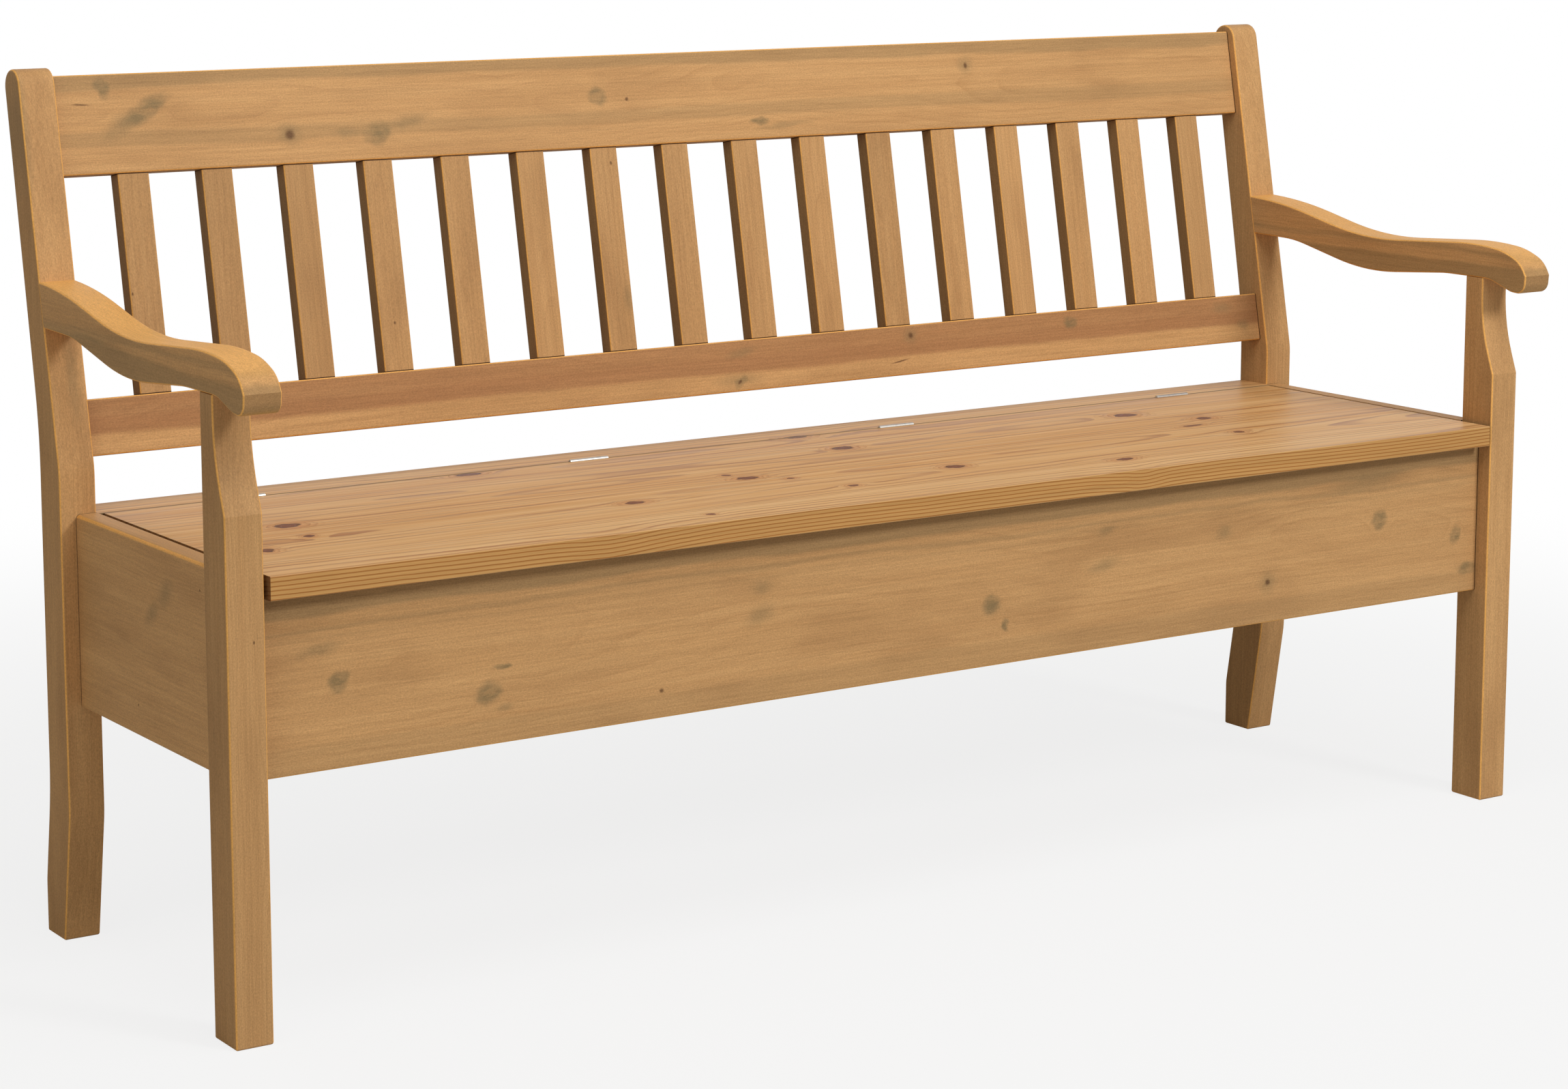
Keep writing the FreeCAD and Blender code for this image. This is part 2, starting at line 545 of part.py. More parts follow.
def armrest(name, side):
    body = new_body(f"armrest_{name}")

    def spot(share, rise_share, radius):
        return (f"{share} * Places.back_face",
                f"Places.arm_seat_height + {rise_share} * Sizes.arm_height", f"Sizes.{radius}")

    tip, hollow = NOSE_UNDER_shares
    corners = (
        (lean_depth(ARM_UNDER), ARM_UNDER, None),
        (lean_depth(ARM_TOP), ARM_TOP, None),
        *[spot(*shares, radius) for shares, radius in zip(ARM_TOP_shares, ARM_TOP_RADII)],
        ("0", f"Places.arm_seat_height + {NOSE_CREASE_share} * Sizes.arm_height", None),
        spot(*tip, "nose_tip_radius"),
        spot(*hollow, "nose_under_radius"),
        ("Places.front_face + Sizes.waist_cut - Sizes.arm_flat_ahead", "Places.arm_seat_height",
         "Sizes.nose_neck_radius"),
        ("Places.front_post_rear + Sizes.arm_flat_behind", "Places.arm_seat_height",
         "Sizes.arm_bend_radius"),
        *[spot(*shares, radius) for shares, radius in zip(ARM_DIP_shares, ARM_DIP_RADII)],
    )
    width = span("Places.inner_face", "Places.outer_face", side)
    pad(body, corners, width[0], "Sizes.post_width")
    rear = value(lean_depth(ARM_UNDER)) - value("Sizes.fit_gap")

    def worn(edge):
        start, end = ends(edge)
        across = near(start.y, end.y) and near(start.z, end.z)
        return not across and min(start.y, end.y) < rear

    ease(body, "Sizes.edge_radius", worn)
    block(body, span(*ARM_TENON, side),
          (f"{lean_depth(ARM_UNDER)} - Sizes.overrun",
           f"{lean_depth(ARM_MIDDLE)} + Sizes.arm_tenon_length"), ARM_TENON_RISE)
    block(body, widened(span(*ARM_TENON, side)), widened(POST_TENON),
          ("Places.arm_seat_height - Sizes.overrun",
           "Places.arm_seat_height + Sizes.post_tenon_height + Sizes.mortise_spare"), cut=True)


# Boards of the chest: tongues at both ends fit the grooves in the posts

def board(label, x, depth, z, edge_radius="Sizes.board_edge_radius", axis=0):
    body = new_body(label)
    block(body, x, depth, z)
    ease(body, edge_radius, runs_along(axis))
    return body


def ledge_screw_holes(body, depth, turn, length):
    """A row of pilot holes for the screws of a long ledge."""
    hole = rod(body, "Sizes.wood_screw_radius + Sizes.screw_clearance", length,
               "-Places.ledge_screw_run / 2", depth, "Places.ledge_middle", turn, cut=True)
    repeat(body, [hole], "X", "Sizes.ledge_screw_count", "Places.ledge_screw_run")


SCREW_GRIP = "Sizes.wood_screw_length - Sizes.ledge_size + Sizes.mortise_spare"


def front_apron():
    body = board("front_apron", ("-Places.inner_face", "Places.inner_face"),
                 ("Places.apron_front", "Places.apron_rear"),
                 ("Sizes.chest_underside", "Places.apron_top"))
    block(body, widened(("-Places.inner_face", "Places.inner_face"), "Sizes.tongue_length"),
          APRON_TONGUE, APRON_TONGUE_RISE)
    ledge_screw_holes(body, "Places.apron_rear", FORWARDS, SCREW_GRIP)


def rear_panel():
    body = board("rear_panel", ("-Places.inner_face", "Places.inner_face"),
                 ("Places.rear_panel_front", "Places.rear_panel_rear"),
                 ("Sizes.chest_underside", "Places.lid_underside"))
    block(body, widened(("-Places.inner_face", "Places.inner_face"), "Sizes.tongue_length"),
          REAR_TONGUE, REAR_TONGUE_RISE)
    ledge_screw_holes(body, "Places.rear_panel_front", BACKWARDS, SCREW_GRIP)


def side_panel(name, side):
    body = new_body(f"side_panel_{name}")
    width = ("Places.inner_face", "Places.inner_face + Sizes.board_thickness")
    block(body, span(*width, side), ("Places.front_post_rear", "Places.back_face"),
          ("Sizes.chest_underside", "Sizes.seat_height"))
    outer, top = value(width[1]), value("Sizes.seat_height")

    def outer_top(edge):
        start, _ = ends(edge)
        return runs_along(1)(edge) and near(abs(start.x), outer) and near(start.z, top)

    ease(body, "Sizes.panel_edge_radius", outer_top)
    block(body, span(*SIDE_TONGUE, side),
          widened(("Places.front_post_rear", "Places.back_face"), "Sizes.tongue_length"),
          SIDE_TONGUE_RISE)


# Back: two leaning rails between the posts and a row of slats between the rails

RAIL_DEPTH = ("Sizes.rail_recess", "Sizes.rail_recess + Sizes.rail_thickness")


def back_rail(label, rise, mortises):
    body = new_leaning_body(label)
    length = ("-Places.inner_face", "Places.inner_face")
    block(body, length, RAIL_DEPTH, rise)
    ease(body, "Sizes.board_edge_radius", runs_along(0))
    block(body, widened(length, "Sizes.rail_tenon_length"), RAIL_TENON, tenon_rise(rise))
    half = "(Sizes.slat_width / 2 - Sizes.slat_tenon_shoulder)"
    mortise = block(body, widened((f"Places.first_slat - {half}", f"Places.first_slat + {half}")),
                    widened(SLAT_TENON), mortises, cut=True)
    repeat(body, [mortise], "X", "Sizes.slat_count", "-2 * Places.first_slat")


def back_slat(number):
    body = new_leaning_body(f"back_slat_{number + 1:02d}")
    middle = f"Places.first_slat + {number} * Places.slat_pitch"
    half = "Sizes.slat_width / 2"
    block(body, (f"{middle} - {half}", f"{middle} + {half}"),
          ("Places.rail_middle - Sizes.slat_thickness / 2",
           "Places.rail_middle + Sizes.slat_thickness / 2"), ("Places.slat_low", "Places.slat_high"))
    ease(body, "Sizes.board_edge_radius", runs_along(2))
    inset = f"({half} - Sizes.slat_tenon_shoulder)"
    block(body, (f"{middle} - {inset}", f"{middle} + {inset}"), SLAT_TENON,
          widened(("Places.slat_low", "Places.slat_high"), "Sizes.slat_tenon_length"))


# Seat: a fixed strip behind and a lid in front, let in for the hinges between them

def hinge_middle(number):
    """The x of the middle of one hinge, counted from the left."""
    return f"Places.first_hinge + {number} * Places.hinge_spacing"


def let_in_hinges(body, towards):
    """Cuts a seat board for the four hinges. towards is 1 behind the joint, -1 ahead of it."""
    turn = BACKWARDS if towards > 0 else FORWARDS
    seat = f"Places.joint_line + {towards} * Places.leaf_outer"
    depth = ("Places.joint_line", seat) if towards > 0 else (seat, "Places.joint_line")
    for number in range(int(value("Sizes.hinge_count"))):
        left = f"{hinge_middle(number)} - Sizes.hinge_length / 2"
        rod(body, "Places.barrel_room", "Sizes.hinge_length + 2 * Sizes.barrel_clearance",
            f"{left} - Sizes.barrel_clearance", "Places.joint_line", "Sizes.seat_height",
            ALONG_X, cut=True)
        block(body, widened((left, f"{left} + Sizes.hinge_length")), depth,
              ("Places.leaf_low - Sizes.fit_gap", "Sizes.seat_height"), cut=True)
    holes = [rod(body, "Sizes.screw_radius + Sizes.screw_clearance", "Sizes.screw_length",
                 f"Places.first_hinge + {way} * Sizes.screw_offset", seat,
                 "Places.screw_level", turn, cut=True) for way in (-1, 1)]
    repeat(body, holes, "X", "Sizes.hinge_count", "-2 * Places.first_hinge")


def seat_rear_strip():
    body = board("seat_rear_strip", ("-Places.inner_face", "Places.inner_face"),
                 ("Places.joint_line + Sizes.lid_joint_gap / 2",
                  "Places.back_rear - Sizes.strip_inset"),
                 ("Places.lid_underside", "Sizes.seat_height"), "Sizes.board_edge_radius / 2")
    let_in_hinges(body, 1)


def seat_lid():
    half = "(Places.inner_face - Sizes.lid_end_gap)"
    body = board("seat_lid", (f"-{half}", half),
                 ("Places.front_face - Sizes.lid_overhang",
                  "Places.joint_line - Sizes.lid_joint_gap / 2"),
                 ("Places.lid_underside", "Sizes.seat_height"), "Sizes.board_edge_radius / 2")
    let_in_hinges(body, -1)
    for number in range(int(value("Sizes.batten_screw_count"))):
        hole = rod(body, "Sizes.wood_screw_radius + Sizes.screw_clearance",
                   "Sizes.wood_screw_length - Sizes.batten_thickness + Sizes.mortise_spare",
                   "Places.first_batten", batten_screw_depth(number), "Places.lid_underside",
                   UPWARDS, cut=True)
        repeat(body, [hole], "X", "Sizes.batten_count", "-2 * Places.first_batten")


# Battens that keep the lid flat, screwed on from below

def batten_screw_depth(number):
    """Depth of one of the screws in a batten."""
    return (f"Places.batten_screw_start + {number} * Places.batten_screw_run"
            " / (Sizes.batten_screw_count - 1)")


def screw_head(body, x, depth, z, turn, gap="0", cut=False):
    """The countersunk head and shank of a wood screw, or the hole for one."""
    shank = f"Sizes.wood_screw_radius + {gap}"
    return [taper(body, f"Sizes.wood_screw_head_radius + {gap}", shank,
                  "Sizes.wood_screw_head_depth", x, depth, z, turn, cut),
            rod(body, shank, "Sizes.wood_screw_length", x, depth, z, turn, cut)]


def lid_batten(number):
    middle = f"Places.first_batten + {number} * Places.batten_pitch"
    body = new_body(f"lid_batten_{number + 1}")
    block(body, (f"{middle} - Sizes.batten_width / 2", f"{middle} + Sizes.batten_width / 2"),
          ("Places.batten_start", "Places.batten_end"),
          ("Places.batten_low", "Places.lid_underside"))
    low = value("Places.batten_low")
    ease(body, "Sizes.batten_edge_radius",
         lambda edge: all(near(point.z, low) for point in ends(edge)))
    holes = screw_head(body, middle, "Places.batten_screw_start", "Places.batten_low", UPWARDS,
                       "Sizes.screw_clearance", cut=True)
    repeat(body, holes, "Y", "Sizes.batten_screw_count", "Places.batten_screw_run")


def batten_screws():
    body = new_body("batten_screws")
    for number in range(int(value("Sizes.batten_screw_count"))):
        screw = screw_head(body, "Places.first_batten", batten_screw_depth(number),
                           "Places.batten_low", UPWARDS)
        repeat(body, screw, "X", "Sizes.batten_count", "-2 * Places.first_batten")


# Bottom of the chest: ledges screwed round the inside, a bearer and two bottom boards

LEDGE_RISE = ("Places.ledge_low", "Places.ledge_top")
LEDGE_FRONT_IN = "Places.apron_rear + Sizes.ledge_size"
LEDGE_REAR_IN = "Places.rear_panel_front - Sizes.ledge_size"


def long_ledge(label, depth, screw_depth, turn):
    body = new_body(label)
    block(body, ("-Places.inner_face", "Places.inner_face"), depth, LEDGE_RISE)
    holes = screw_head(body, "-Places.ledge_screw_run / 2", screw_depth, "Places.ledge_middle",
                       turn, "Sizes.screw_clearance", cut=True)
    repeat(body, holes, "X", "Sizes.ledge_screw_count", "Places.ledge_screw_run")


def side_ledge(name, side):
    body = new_body(f"ledge_{name}")
    block(body, span("Places.inner_face - Sizes.ledge_size", "Places.inner_face", side),
          (LEDGE_FRONT_IN, LEDGE_REAR_IN), LEDGE_RISE)


def ledge_screws():
    body = new_body("ledge_screws")
    for depth, turn in ((LEDGE_FRONT_IN, FORWARDS), (LEDGE_REAR_IN, BACKWARDS)):
        screw = screw_head(body, "-Places.ledge_screw_run / 2", depth, "Places.ledge_middle", turn)
        repeat(body, screw, "X", "Sizes.ledge_screw_count", "Places.ledge_screw_run")


def bottom_bearer():
    body = new_body("bottom_bearer")
    block(body, ("-Sizes.bearer_width / 2", "Sizes.bearer_width / 2"),
          (LEDGE_FRONT_IN, LEDGE_REAR_IN), LEDGE_RISE)


def bottom_board(name, side):
    body = new_body(f"bottom_board_{name}")
    block(body, span("Sizes.bottom_gap / 2", "Places.inner_face - Sizes.bottom_gap", side),
          ("Places.apron_rear + Sizes.bottom_gap", "Places.rear_panel_front - Sizes.bottom_gap"),
          ("Places.ledge_top", "Places.ledge_top + Sizes.bottom_thickness"))


# Butt hinges: leaves on both sides of the joint, knuckles in turn, and a pin

def knuckle(body, middle, number, towards):
    """One knuckle with the web that joins it to its leaf."""
    start = (f"{middle} - Sizes.hinge_length / 2 + {number} * Places.knuckle_pitch"
             " + Sizes.knuckle_gap / 2")
    length = "Places.knuckle_pitch - Sizes.knuckle_gap"
    rod(body, "Sizes.knuckle_radius", length, start, "Places.joint_line", "Sizes.seat_height",
        ALONG_X)
    block(body, (start, f"{start} + {length}"), leaf_depth(towards),
          ("Sizes.seat_height - Places.barrel_room - Sizes.leaf_thickness", "Sizes.seat_height"))


def leaf_depth(towards):
    """Where a leaf lies behind the joint line, or ahead of it where towards is -1."""
    inner = f"Places.joint_line + {towards} * Places.leaf_inner"
    outer = f"Places.joint_line + {towards} * Places.leaf_outer"
    return (inner, outer) if towards > 0 else (outer, inner)


def hinge_screw(body, x, towards, gap="0", cut=False):
    """A hinge screw, or the hole for one, from the leaf's inner face."""
    turn = BACKWARDS if towards > 0 else FORWARDS
    depth = f"Places.joint_line + {towards} * Places.leaf_inner"
    shank = f"Sizes.screw_radius + {gap}"
    return [taper(body, f"Sizes.screw_head_radius + {gap}", shank, "Sizes.leaf_thickness",
                  x, depth, "Places.screw_level", turn, cut),
            rod(body, shank, "Sizes.screw_length", x, depth, "Places.screw_level", turn, cut)]


def hinge_leaf(label, middle, towards, first_knuckle):
    body = new_body(label)
    block(body, (f"{middle} - Sizes.hinge_length / 2", f"{middle} + Sizes.hinge_length / 2"),
          leaf_depth(towards), ("Places.leaf_low", "Sizes.seat_height - Places.barrel_room"))
    for number in range(first_knuckle, int(value("Sizes.knuckle_count")), 2):
        knuckle(body, middle, number, towards)
    rod(body, "Sizes.pin_radius + Sizes.pin_clearance", "Sizes.hinge_length",
        f"{middle} - Sizes.hinge_length / 2", "Places.joint_line", "Sizes.seat_height",
        ALONG_X, cut=True)
    for way in (-1, 1):
        hinge_screw(body, f"{middle} + {way} * Sizes.screw_offset", towards,
                    "Sizes.screw_clearance", cut=True)


def hinge_pin(label, middle):
    body = new_body(label)
    rod(body, "Sizes.pin_radius", "Sizes.hinge_length", f"{middle} - Sizes.hinge_length / 2",
        "Places.joint_line", "Sizes.seat_height", ALONG_X)


def hinge_screws(label, towards):
    body = new_body(label)
    for way in (-1, 1):
        screw = hinge_screw(body, f"Places.first_hinge + {way} * Sizes.screw_offset", towards)
        repeat(body, screw, "X", "Sizes.hinge_count", "-2 * Places.first_hinge")


# The whole bench

for name, side in SIDES:
    front_post(name, side)
    back_post(name, side)
    armrest(name, side)
    side_panel(name, side)
    side_ledge(name, side)
    bottom_board(name, side)
front_apron()
rear_panel()
back_rail("lower_rail", LOWER_RAIL,
          ("Places.slat_low - Sizes.slat_tenon_length - Sizes.mortise_spare",
           "Places.slat_low + Sizes.overrun"))
back_rail("top_rail", TOP_RAIL,
          ("Places.slat_high - Sizes.overrun",
           "Places.slat_high + Sizes.slat_tenon_length + Sizes.mortise_spare"))
for number in range(int(value("Sizes.slat_count"))):
    back_slat(number)
seat_rear_strip()
seat_lid()
for number in range(int(value("Sizes.batten_count"))):
    lid_batten(number)
batten_screws()
long_ledge("ledge_front", ("Places.apron_rear", LEDGE_FRONT_IN), LEDGE_FRONT_IN, FORWARDS)
long_ledge("ledge_rear", (LEDGE_REAR_IN, "Places.rear_panel_front"), LEDGE_REAR_IN, BACKWARDS)
ledge_screws()
bottom_bearer()
for number in range(int(value("Sizes.hinge_count"))):
    hinge_leaf(f"hinge_fixed_leaf_{number + 1}", hinge_middle(number), 1, 0)
    hinge_leaf(f"hinge_lid_leaf_{number + 1}", hinge_middle(number), -1, 1)
    hinge_pin(f"hinge_pin_{number + 1}", hinge_middle(number))
hinge_screws("hinge_screws_fixed", 1)
hinge_screws("hinge_screws_lid", -1)

doc.recompute()
failed = [thing.Label for thing in doc.Objects
          if "Invalid" in thing.State or "Error" in thing.State]
if failed:
    raise RuntimeError(f"these objects failed: {failed}")
for label, piece in parts.items():
    if piece.Shape.isNull() or not piece.Shape.isValid() or not piece.Shape.Solids:
        raise RuntimeError(f"{label} has no valid shape")

os.makedirs("parts", exist_ok=True)
for label, piece in parts.items():
    piece.Shape.exportStep(os.path.join("parts", f"{label}.step"))
    box = piece.Shape.BoundBox
    print(f"{label}: {len(piece.Shape.Solids)} solid(s), {piece.Shape.Volume / 1000:.1f} cm3, "
          f"x {box.XMin:.1f} to {box.XMax:.1f}, y {box.YMin:.1f} to {box.YMax:.1f}, "
          f"z {box.ZMin:.1f} to {box.ZMax:.1f}")
print(len(parts), "pieces")
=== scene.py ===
# %% [markdown]
# # A pine storage bench
#
# The bench in this scene is made of solid pine: four posts, two curved arms, a slatted back that
# leans, and a seat board that lifts on four butt hinges over a chest. The construction model has
# every piece at its real size. This file adds what that model can't hold: the look of stained and
# lacquered wood, plated hinges, screws with a cross recess, and the light of a studio.
#

# %% Load the construction model
import math
import random

import bpy
from mathutils import Matrix, Vector


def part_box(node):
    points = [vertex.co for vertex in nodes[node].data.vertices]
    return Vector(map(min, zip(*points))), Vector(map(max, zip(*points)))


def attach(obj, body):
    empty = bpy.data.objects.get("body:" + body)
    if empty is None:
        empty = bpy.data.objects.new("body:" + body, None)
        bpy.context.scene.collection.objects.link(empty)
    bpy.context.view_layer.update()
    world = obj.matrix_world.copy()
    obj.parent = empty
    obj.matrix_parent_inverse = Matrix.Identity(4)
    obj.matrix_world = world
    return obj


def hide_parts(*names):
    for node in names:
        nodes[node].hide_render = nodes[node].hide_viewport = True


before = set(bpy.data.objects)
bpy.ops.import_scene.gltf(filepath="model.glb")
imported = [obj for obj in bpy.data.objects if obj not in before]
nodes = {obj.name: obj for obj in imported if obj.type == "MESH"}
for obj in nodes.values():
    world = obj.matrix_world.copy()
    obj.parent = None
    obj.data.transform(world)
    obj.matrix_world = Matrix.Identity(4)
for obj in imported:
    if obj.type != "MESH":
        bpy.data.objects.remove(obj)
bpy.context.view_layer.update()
MM = 0.001

# %% [markdown]
# ## Colours
#
# A colour is easiest to write as the 0 to 255 values that a picture shows. A picture stores light
# on a curve, while a shader mixes it in linear values, so a small function undoes the curve.

# %% Turn picture colours into linear ones
CURVE_KNEE, CURVE_SLOPE, CURVE_OFFSET, CURVE_POWER = 0.04045, 12.92, 0.055, 2.4


def linear(level):
    """One channel of a picture, 0 to 255, as a share of the light of white."""
    level /= 255
    if level <= CURVE_KNEE:
        return level / CURVE_SLOPE
    return ((level + CURVE_OFFSET) / (1 + CURVE_OFFSET)) ** CURVE_POWER


def colour(red, green, blue):
    """A colour of a picture as the linear one that a shader takes."""
    return (linear(red), linear(green), linear(blue), 1)


print("a grey of 128 sends back", round(linear(128), 3), "of the light of white")

# %% [markdown]
# ## Writing shaders as sums
#
# A wood shader is a long sum: rings plus fibres plus knots. Linking Math nodes by hand hides that
# sum, so one small class wraps a socket, and any node comes from its `node` method, which sets the
# node up first and fills its sockets after.

# %% A socket that adds nodes
class Wire:
    """An output of a node, and the tree that the node is in."""

    def __init__(self, tree, socket=None):
        self.tree = tree
        self.socket = socket

    def node(self, kind, settings=None, inputs=None, output=0):
        """Adds a node, sets it up, fills or links its sockets and returns one of its outputs."""
        node = self.tree.nodes.new(kind)
        for name, setting in (settings or {}).items():
            setattr(node, name, setting)
        for key, value in (inputs or {}).items():
            for wire in value if isinstance(value, list) else [value]:
                if isinstance(wire, Wire):
                    self.tree.links.new(wire.socket, node.inputs[key])
                else:
                    node.inputs[key].default_value = wire
        return Wire(self.tree, node.outputs[output] if node.outputs else None)

    def math(self, operation, *others):
        """A Math node that starts with this wire."""
        return self.node("ShaderNodeMath", {"operation": operation},
                         dict(enumerate((self, *others))))

    def vector(self, operation, *others, output=0):
        """A Vector Math node that starts with this wire."""
        return self.node("ShaderNodeVectorMath", {"operation": operation},
                         dict(enumerate((self, *others))), output)


print("a wire can add any node, a Math node or a Vector Math node")

# %% [markdown]
# Python looks for methods with set names when it meets +, - or *. With those names on our class, a
# formula in Python builds the same formula out of Math nodes, also where a number comes first, as
# in 1 - wire.

# %% Let Python's own signs add Math nodes
def sign(operation):
    """A sign between a wire and what follows it."""
    return lambda wire, other: wire.math(operation, other)


def sign_after_number(operation):
    """A sign between a plain number and a wire."""
    return lambda wire, number: wire.node(
        "ShaderNodeMath", {"operation": operation}, {0: number, 1: wire})


Wire.__add__ = Wire.__radd__ = sign("ADD")
Wire.__mul__ = Wire.__rmul__ = sign("MULTIPLY")
Wire.__sub__, Wire.__rsub__ = sign("SUBTRACT"), sign_after_number("SUBTRACT")
Wire.__truediv__, Wire.__rtruediv__ = sign("DIVIDE"), sign_after_number("DIVIDE")
Wire.__pow__ = sign("POWER")
Wire.__abs__ = lambda wire: wire.math("ABSOLUTE")
print("signs that add a node: + - * / ** and abs()")

# %% [markdown]
# ## Words that every finish shares
#
# A few short words keep the finishes readable: split a vector, fade from 0 to 1 between two
# values, take the highest of some values, mix two colours, make one lighter or darker.

# %% Split, fade, mix and shade
MIX_FACTOR, MIX_BELOW, MIX_ABOVE, MIX_RESULT = 0, 6, 7, 2


def split(vector):
    parts = vector.node("ShaderNodeSeparateXYZ", inputs={0: vector}).socket.node.outputs
    return [Wire(vector.tree, part) for part in parts]


def fade(value, start, end):
    """0 where the value is at start, 1 where it is at end, smooth between them."""
    return value.node("ShaderNodeMapRange", {"interpolation_type": "SMOOTHSTEP"},
                      {"Value": value, "From Min": start, "From Max": end})


def highest(first, *others):
    for other in others:
        first = first.math("MAXIMUM", other)
    return first


def mix(mask, below, above):
    """One colour where the mask is 0, the other where it is 1."""
    return mask.node("ShaderNodeMix", {"data_type": "RGBA"},
                     {MIX_FACTOR: mask, MIX_BELOW: below, MIX_ABOVE: above}, MIX_RESULT)


def shade(tone, light):
    return tone.node("ShaderNodeVectorMath", {"operation": "SCALE"}, {0: tone, "Scale": light})


print("colours go into inputs", MIX_BELOW, "and", MIX_ABOVE, "of a Mix node")

# %% [markdown]
# Wood is full of streaks: long along the grain, narrow across it. A noise drawn in a squeezed
# space gives them, and its seed moves it to another place, so that no two boards are alike.

# %% Noise that follows the grain
SEED_STEP = (3.7, 1.9, 2.3)


def noise(space, along, across, detail=2, seed=0, output=0):
    """Noise whose blots are so many mm long and wide. Output 0 is a value, 1 a colour."""
    squeeze = (1 / along, 1 / across, 1 / across)
    start = tuple(seed * step for step in SEED_STEP)
    return space.node("ShaderNodeTexNoise", {"noise_dimensions": "3D"},
                      {"Vector": space.vector("MULTIPLY_ADD", squeeze, start), "Scale": 1,
                       "Detail": detail}, output)


print("each seed moves the noise by", SEED_STEP, "blots")

# %% [markdown]
# A material begins empty and ends in the standard surface shader. The lacquer on this bench is
# satin: it hardly mirrors, which one low specular level says for all the wood. Grain also stands
# up a little, and a Bump node lets the light feel that without any extra geometry.

# %% Begin and end a material
SATIN = 0.08


def new_material(name):
    """An empty material, and a wire on which its nodes are made."""
    material = bpy.data.materials.new(name)
    material.use_nodes = True
    material.node_tree.nodes.clear()
    return material, Wire(material.node_tree)


def relief(height, strength, depth):
    """A surface direction that follows a height of so many mm."""
    return height.node("ShaderNodeBump", inputs={
        "Strength": strength, "Distance": depth * MM, "Height": height})


def finish_surface(tone, rough, normal, **others):
    surface = tone.node("ShaderNodeBsdfPrincipled", inputs={
        "Base Color": tone, "Roughness": rough, "Normal": normal, "Specular IOR Level": SATIN,
        **others})
    tone.node("ShaderNodeOutputMaterial", inputs={"Surface": surface})


print("specular level of the lacquer:", SATIN)

# %% [markdown]
# ## How a board was sawn
#
# Every board was once part of a trunk. If a shader knows where the trunk's middle, the pith, was,
# the year rings come out right on the face, on the edge and on the sawn end at once. So each
# board gets a space of its own, in millimetres: along the grain, across the face, and out of the
# face. Mapping nodes of the texture kind do the move, the turn and the change of unit.

# %% A board's own space
X, Y, Z = Vector((1, 0, 0)), Vector((0, 1, 0)), Vector((0, 0, 1))
BACK_LEAN = math.radians(11)
UP_THE_BACK = Vector((0, math.sin(BACK_LEAN), math.cos(BACK_LEAN)))
ALONG, ACROSS, OUT = 0, 1, 2


def board_space(tree, node, along, across):
    """A place in a board, in mm from its middle, and the surface's direction, both turned."""
    low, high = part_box(node)
    turn = Matrix((along, across, along.cross(across))).transposed().to_euler()
    where = tree.node("ShaderNodeTexCoord", output="Object")
    facing = tree.node("ShaderNodeTexCoord", output="Normal")
    place = tree.node("ShaderNodeMapping", {"vector_type": "TEXTURE"},
                      {"Vector": where, "Location": (low + high) / 2, "Rotation": turn,
                       "Scale": (MM, MM, MM)})
    normal = tree.node("ShaderNodeMapping", {"vector_type": "TEXTURE"},
                       {"Vector": facing, "Rotation": turn})
    return place, normal


print("the back leans by", round(math.degrees(BACK_LEAN)), "degrees")

# %% [markdown]
# ## Knots
#
# A knot is a branch that the board was sawn through. Its grain runs out of the face, so it takes
# up stain as a dark round patch, and the rings bend round it. Each knot here is its place on the
# board, its half size along and across, and its slant in degrees. One Mapping node puts the
# board's space round the knot, so that the length of that vector is 1 at the knot's edge. The
# nearest knot wins, and a little noise keeps the outlines ragged.

# %% The distance to the nearest knot
KNOT_DEPTH = 400
RAGGED_LENGTH, RAGGED_WIDTH = 14, 9
STRAY, DOT_STRAY, STRAY_ACROSS = 14, 3, 0.64


def nearest_knot(space, knots, seed, stray=STRAY):
    """The distance to the nearest knot, as a share of its size. Each is (x, y, rx, ry, slant)."""
    rough = noise(space, RAGGED_LENGTH, RAGGED_WIDTH, 3, seed, output=1)
    rough = rough.vector("SUBTRACT", (0.5, 0.5, 0.5))
    ragged = rough.vector("MULTIPLY_ADD", (stray, stray * STRAY_ACROSS, 0), space)
    nearest = None
    for x, y, half_length, half_width, slant in knots:
        round_it = space.node("ShaderNodeMapping", {"vector_type": "TEXTURE"},
                              {"Vector": ragged, "Location": (x, y, 0),
                               "Rotation": (0, 0, math.radians(slant)),
                               "Scale": (half_length, half_width, KNOT_DEPTH)})
        distance = round_it.vector("LENGTH", output="Value")
        nearest = distance if nearest is None else nearest.math("MINIMUM", distance)
    return nearest


def swelling(near, most=1):
    """How far the rings bend by a knot: fully at its middle, half as far at its edge."""
    return most / (near * near + 1)


print("a knot's outline wanders by up to", STRAY / 2, "mm along the board")

# %% [markdown]
# ## Year rings
#
# A ring starts pale in spring and ends in a thin dark line of late wood, so its profile is a slow
# climb and a sudden drop. The distance from the pith, bent by a slow wander and the swell of the
# knots, is divided by the ring's width, and what is left after the whole rings is the place within
# one ring.

# %% Rings round a pith
RING_WIDTH = 4.2


def year_rings(space, pith, width, wander, seed, swells=()):
    """0 in the pale early wood, 1 in the dark line of late wood."""
    drift_x, drift_y, _ = split(noise(space, 420, 150, 1, seed, output=1))
    ripple = noise(space, 70, 26, 2, seed + 5)
    _, across, out = split(space)
    sideways = across - pith[0] + (drift_x - 0.5) * wander
    deep = out - pith[1] + (drift_y - 0.5) * wander
    radius = (sideways * sideways + deep * deep) ** 0.5 + (ripple - 0.5) * (width * 0.9)
    if swells:
        radius = radius + sum(swells[1:], swells[0]) * (width * 2.6)
    place = (radius / width).math("FRACT")
    return place ** 4 * (1 - fade(place, 0.93, 1.0))


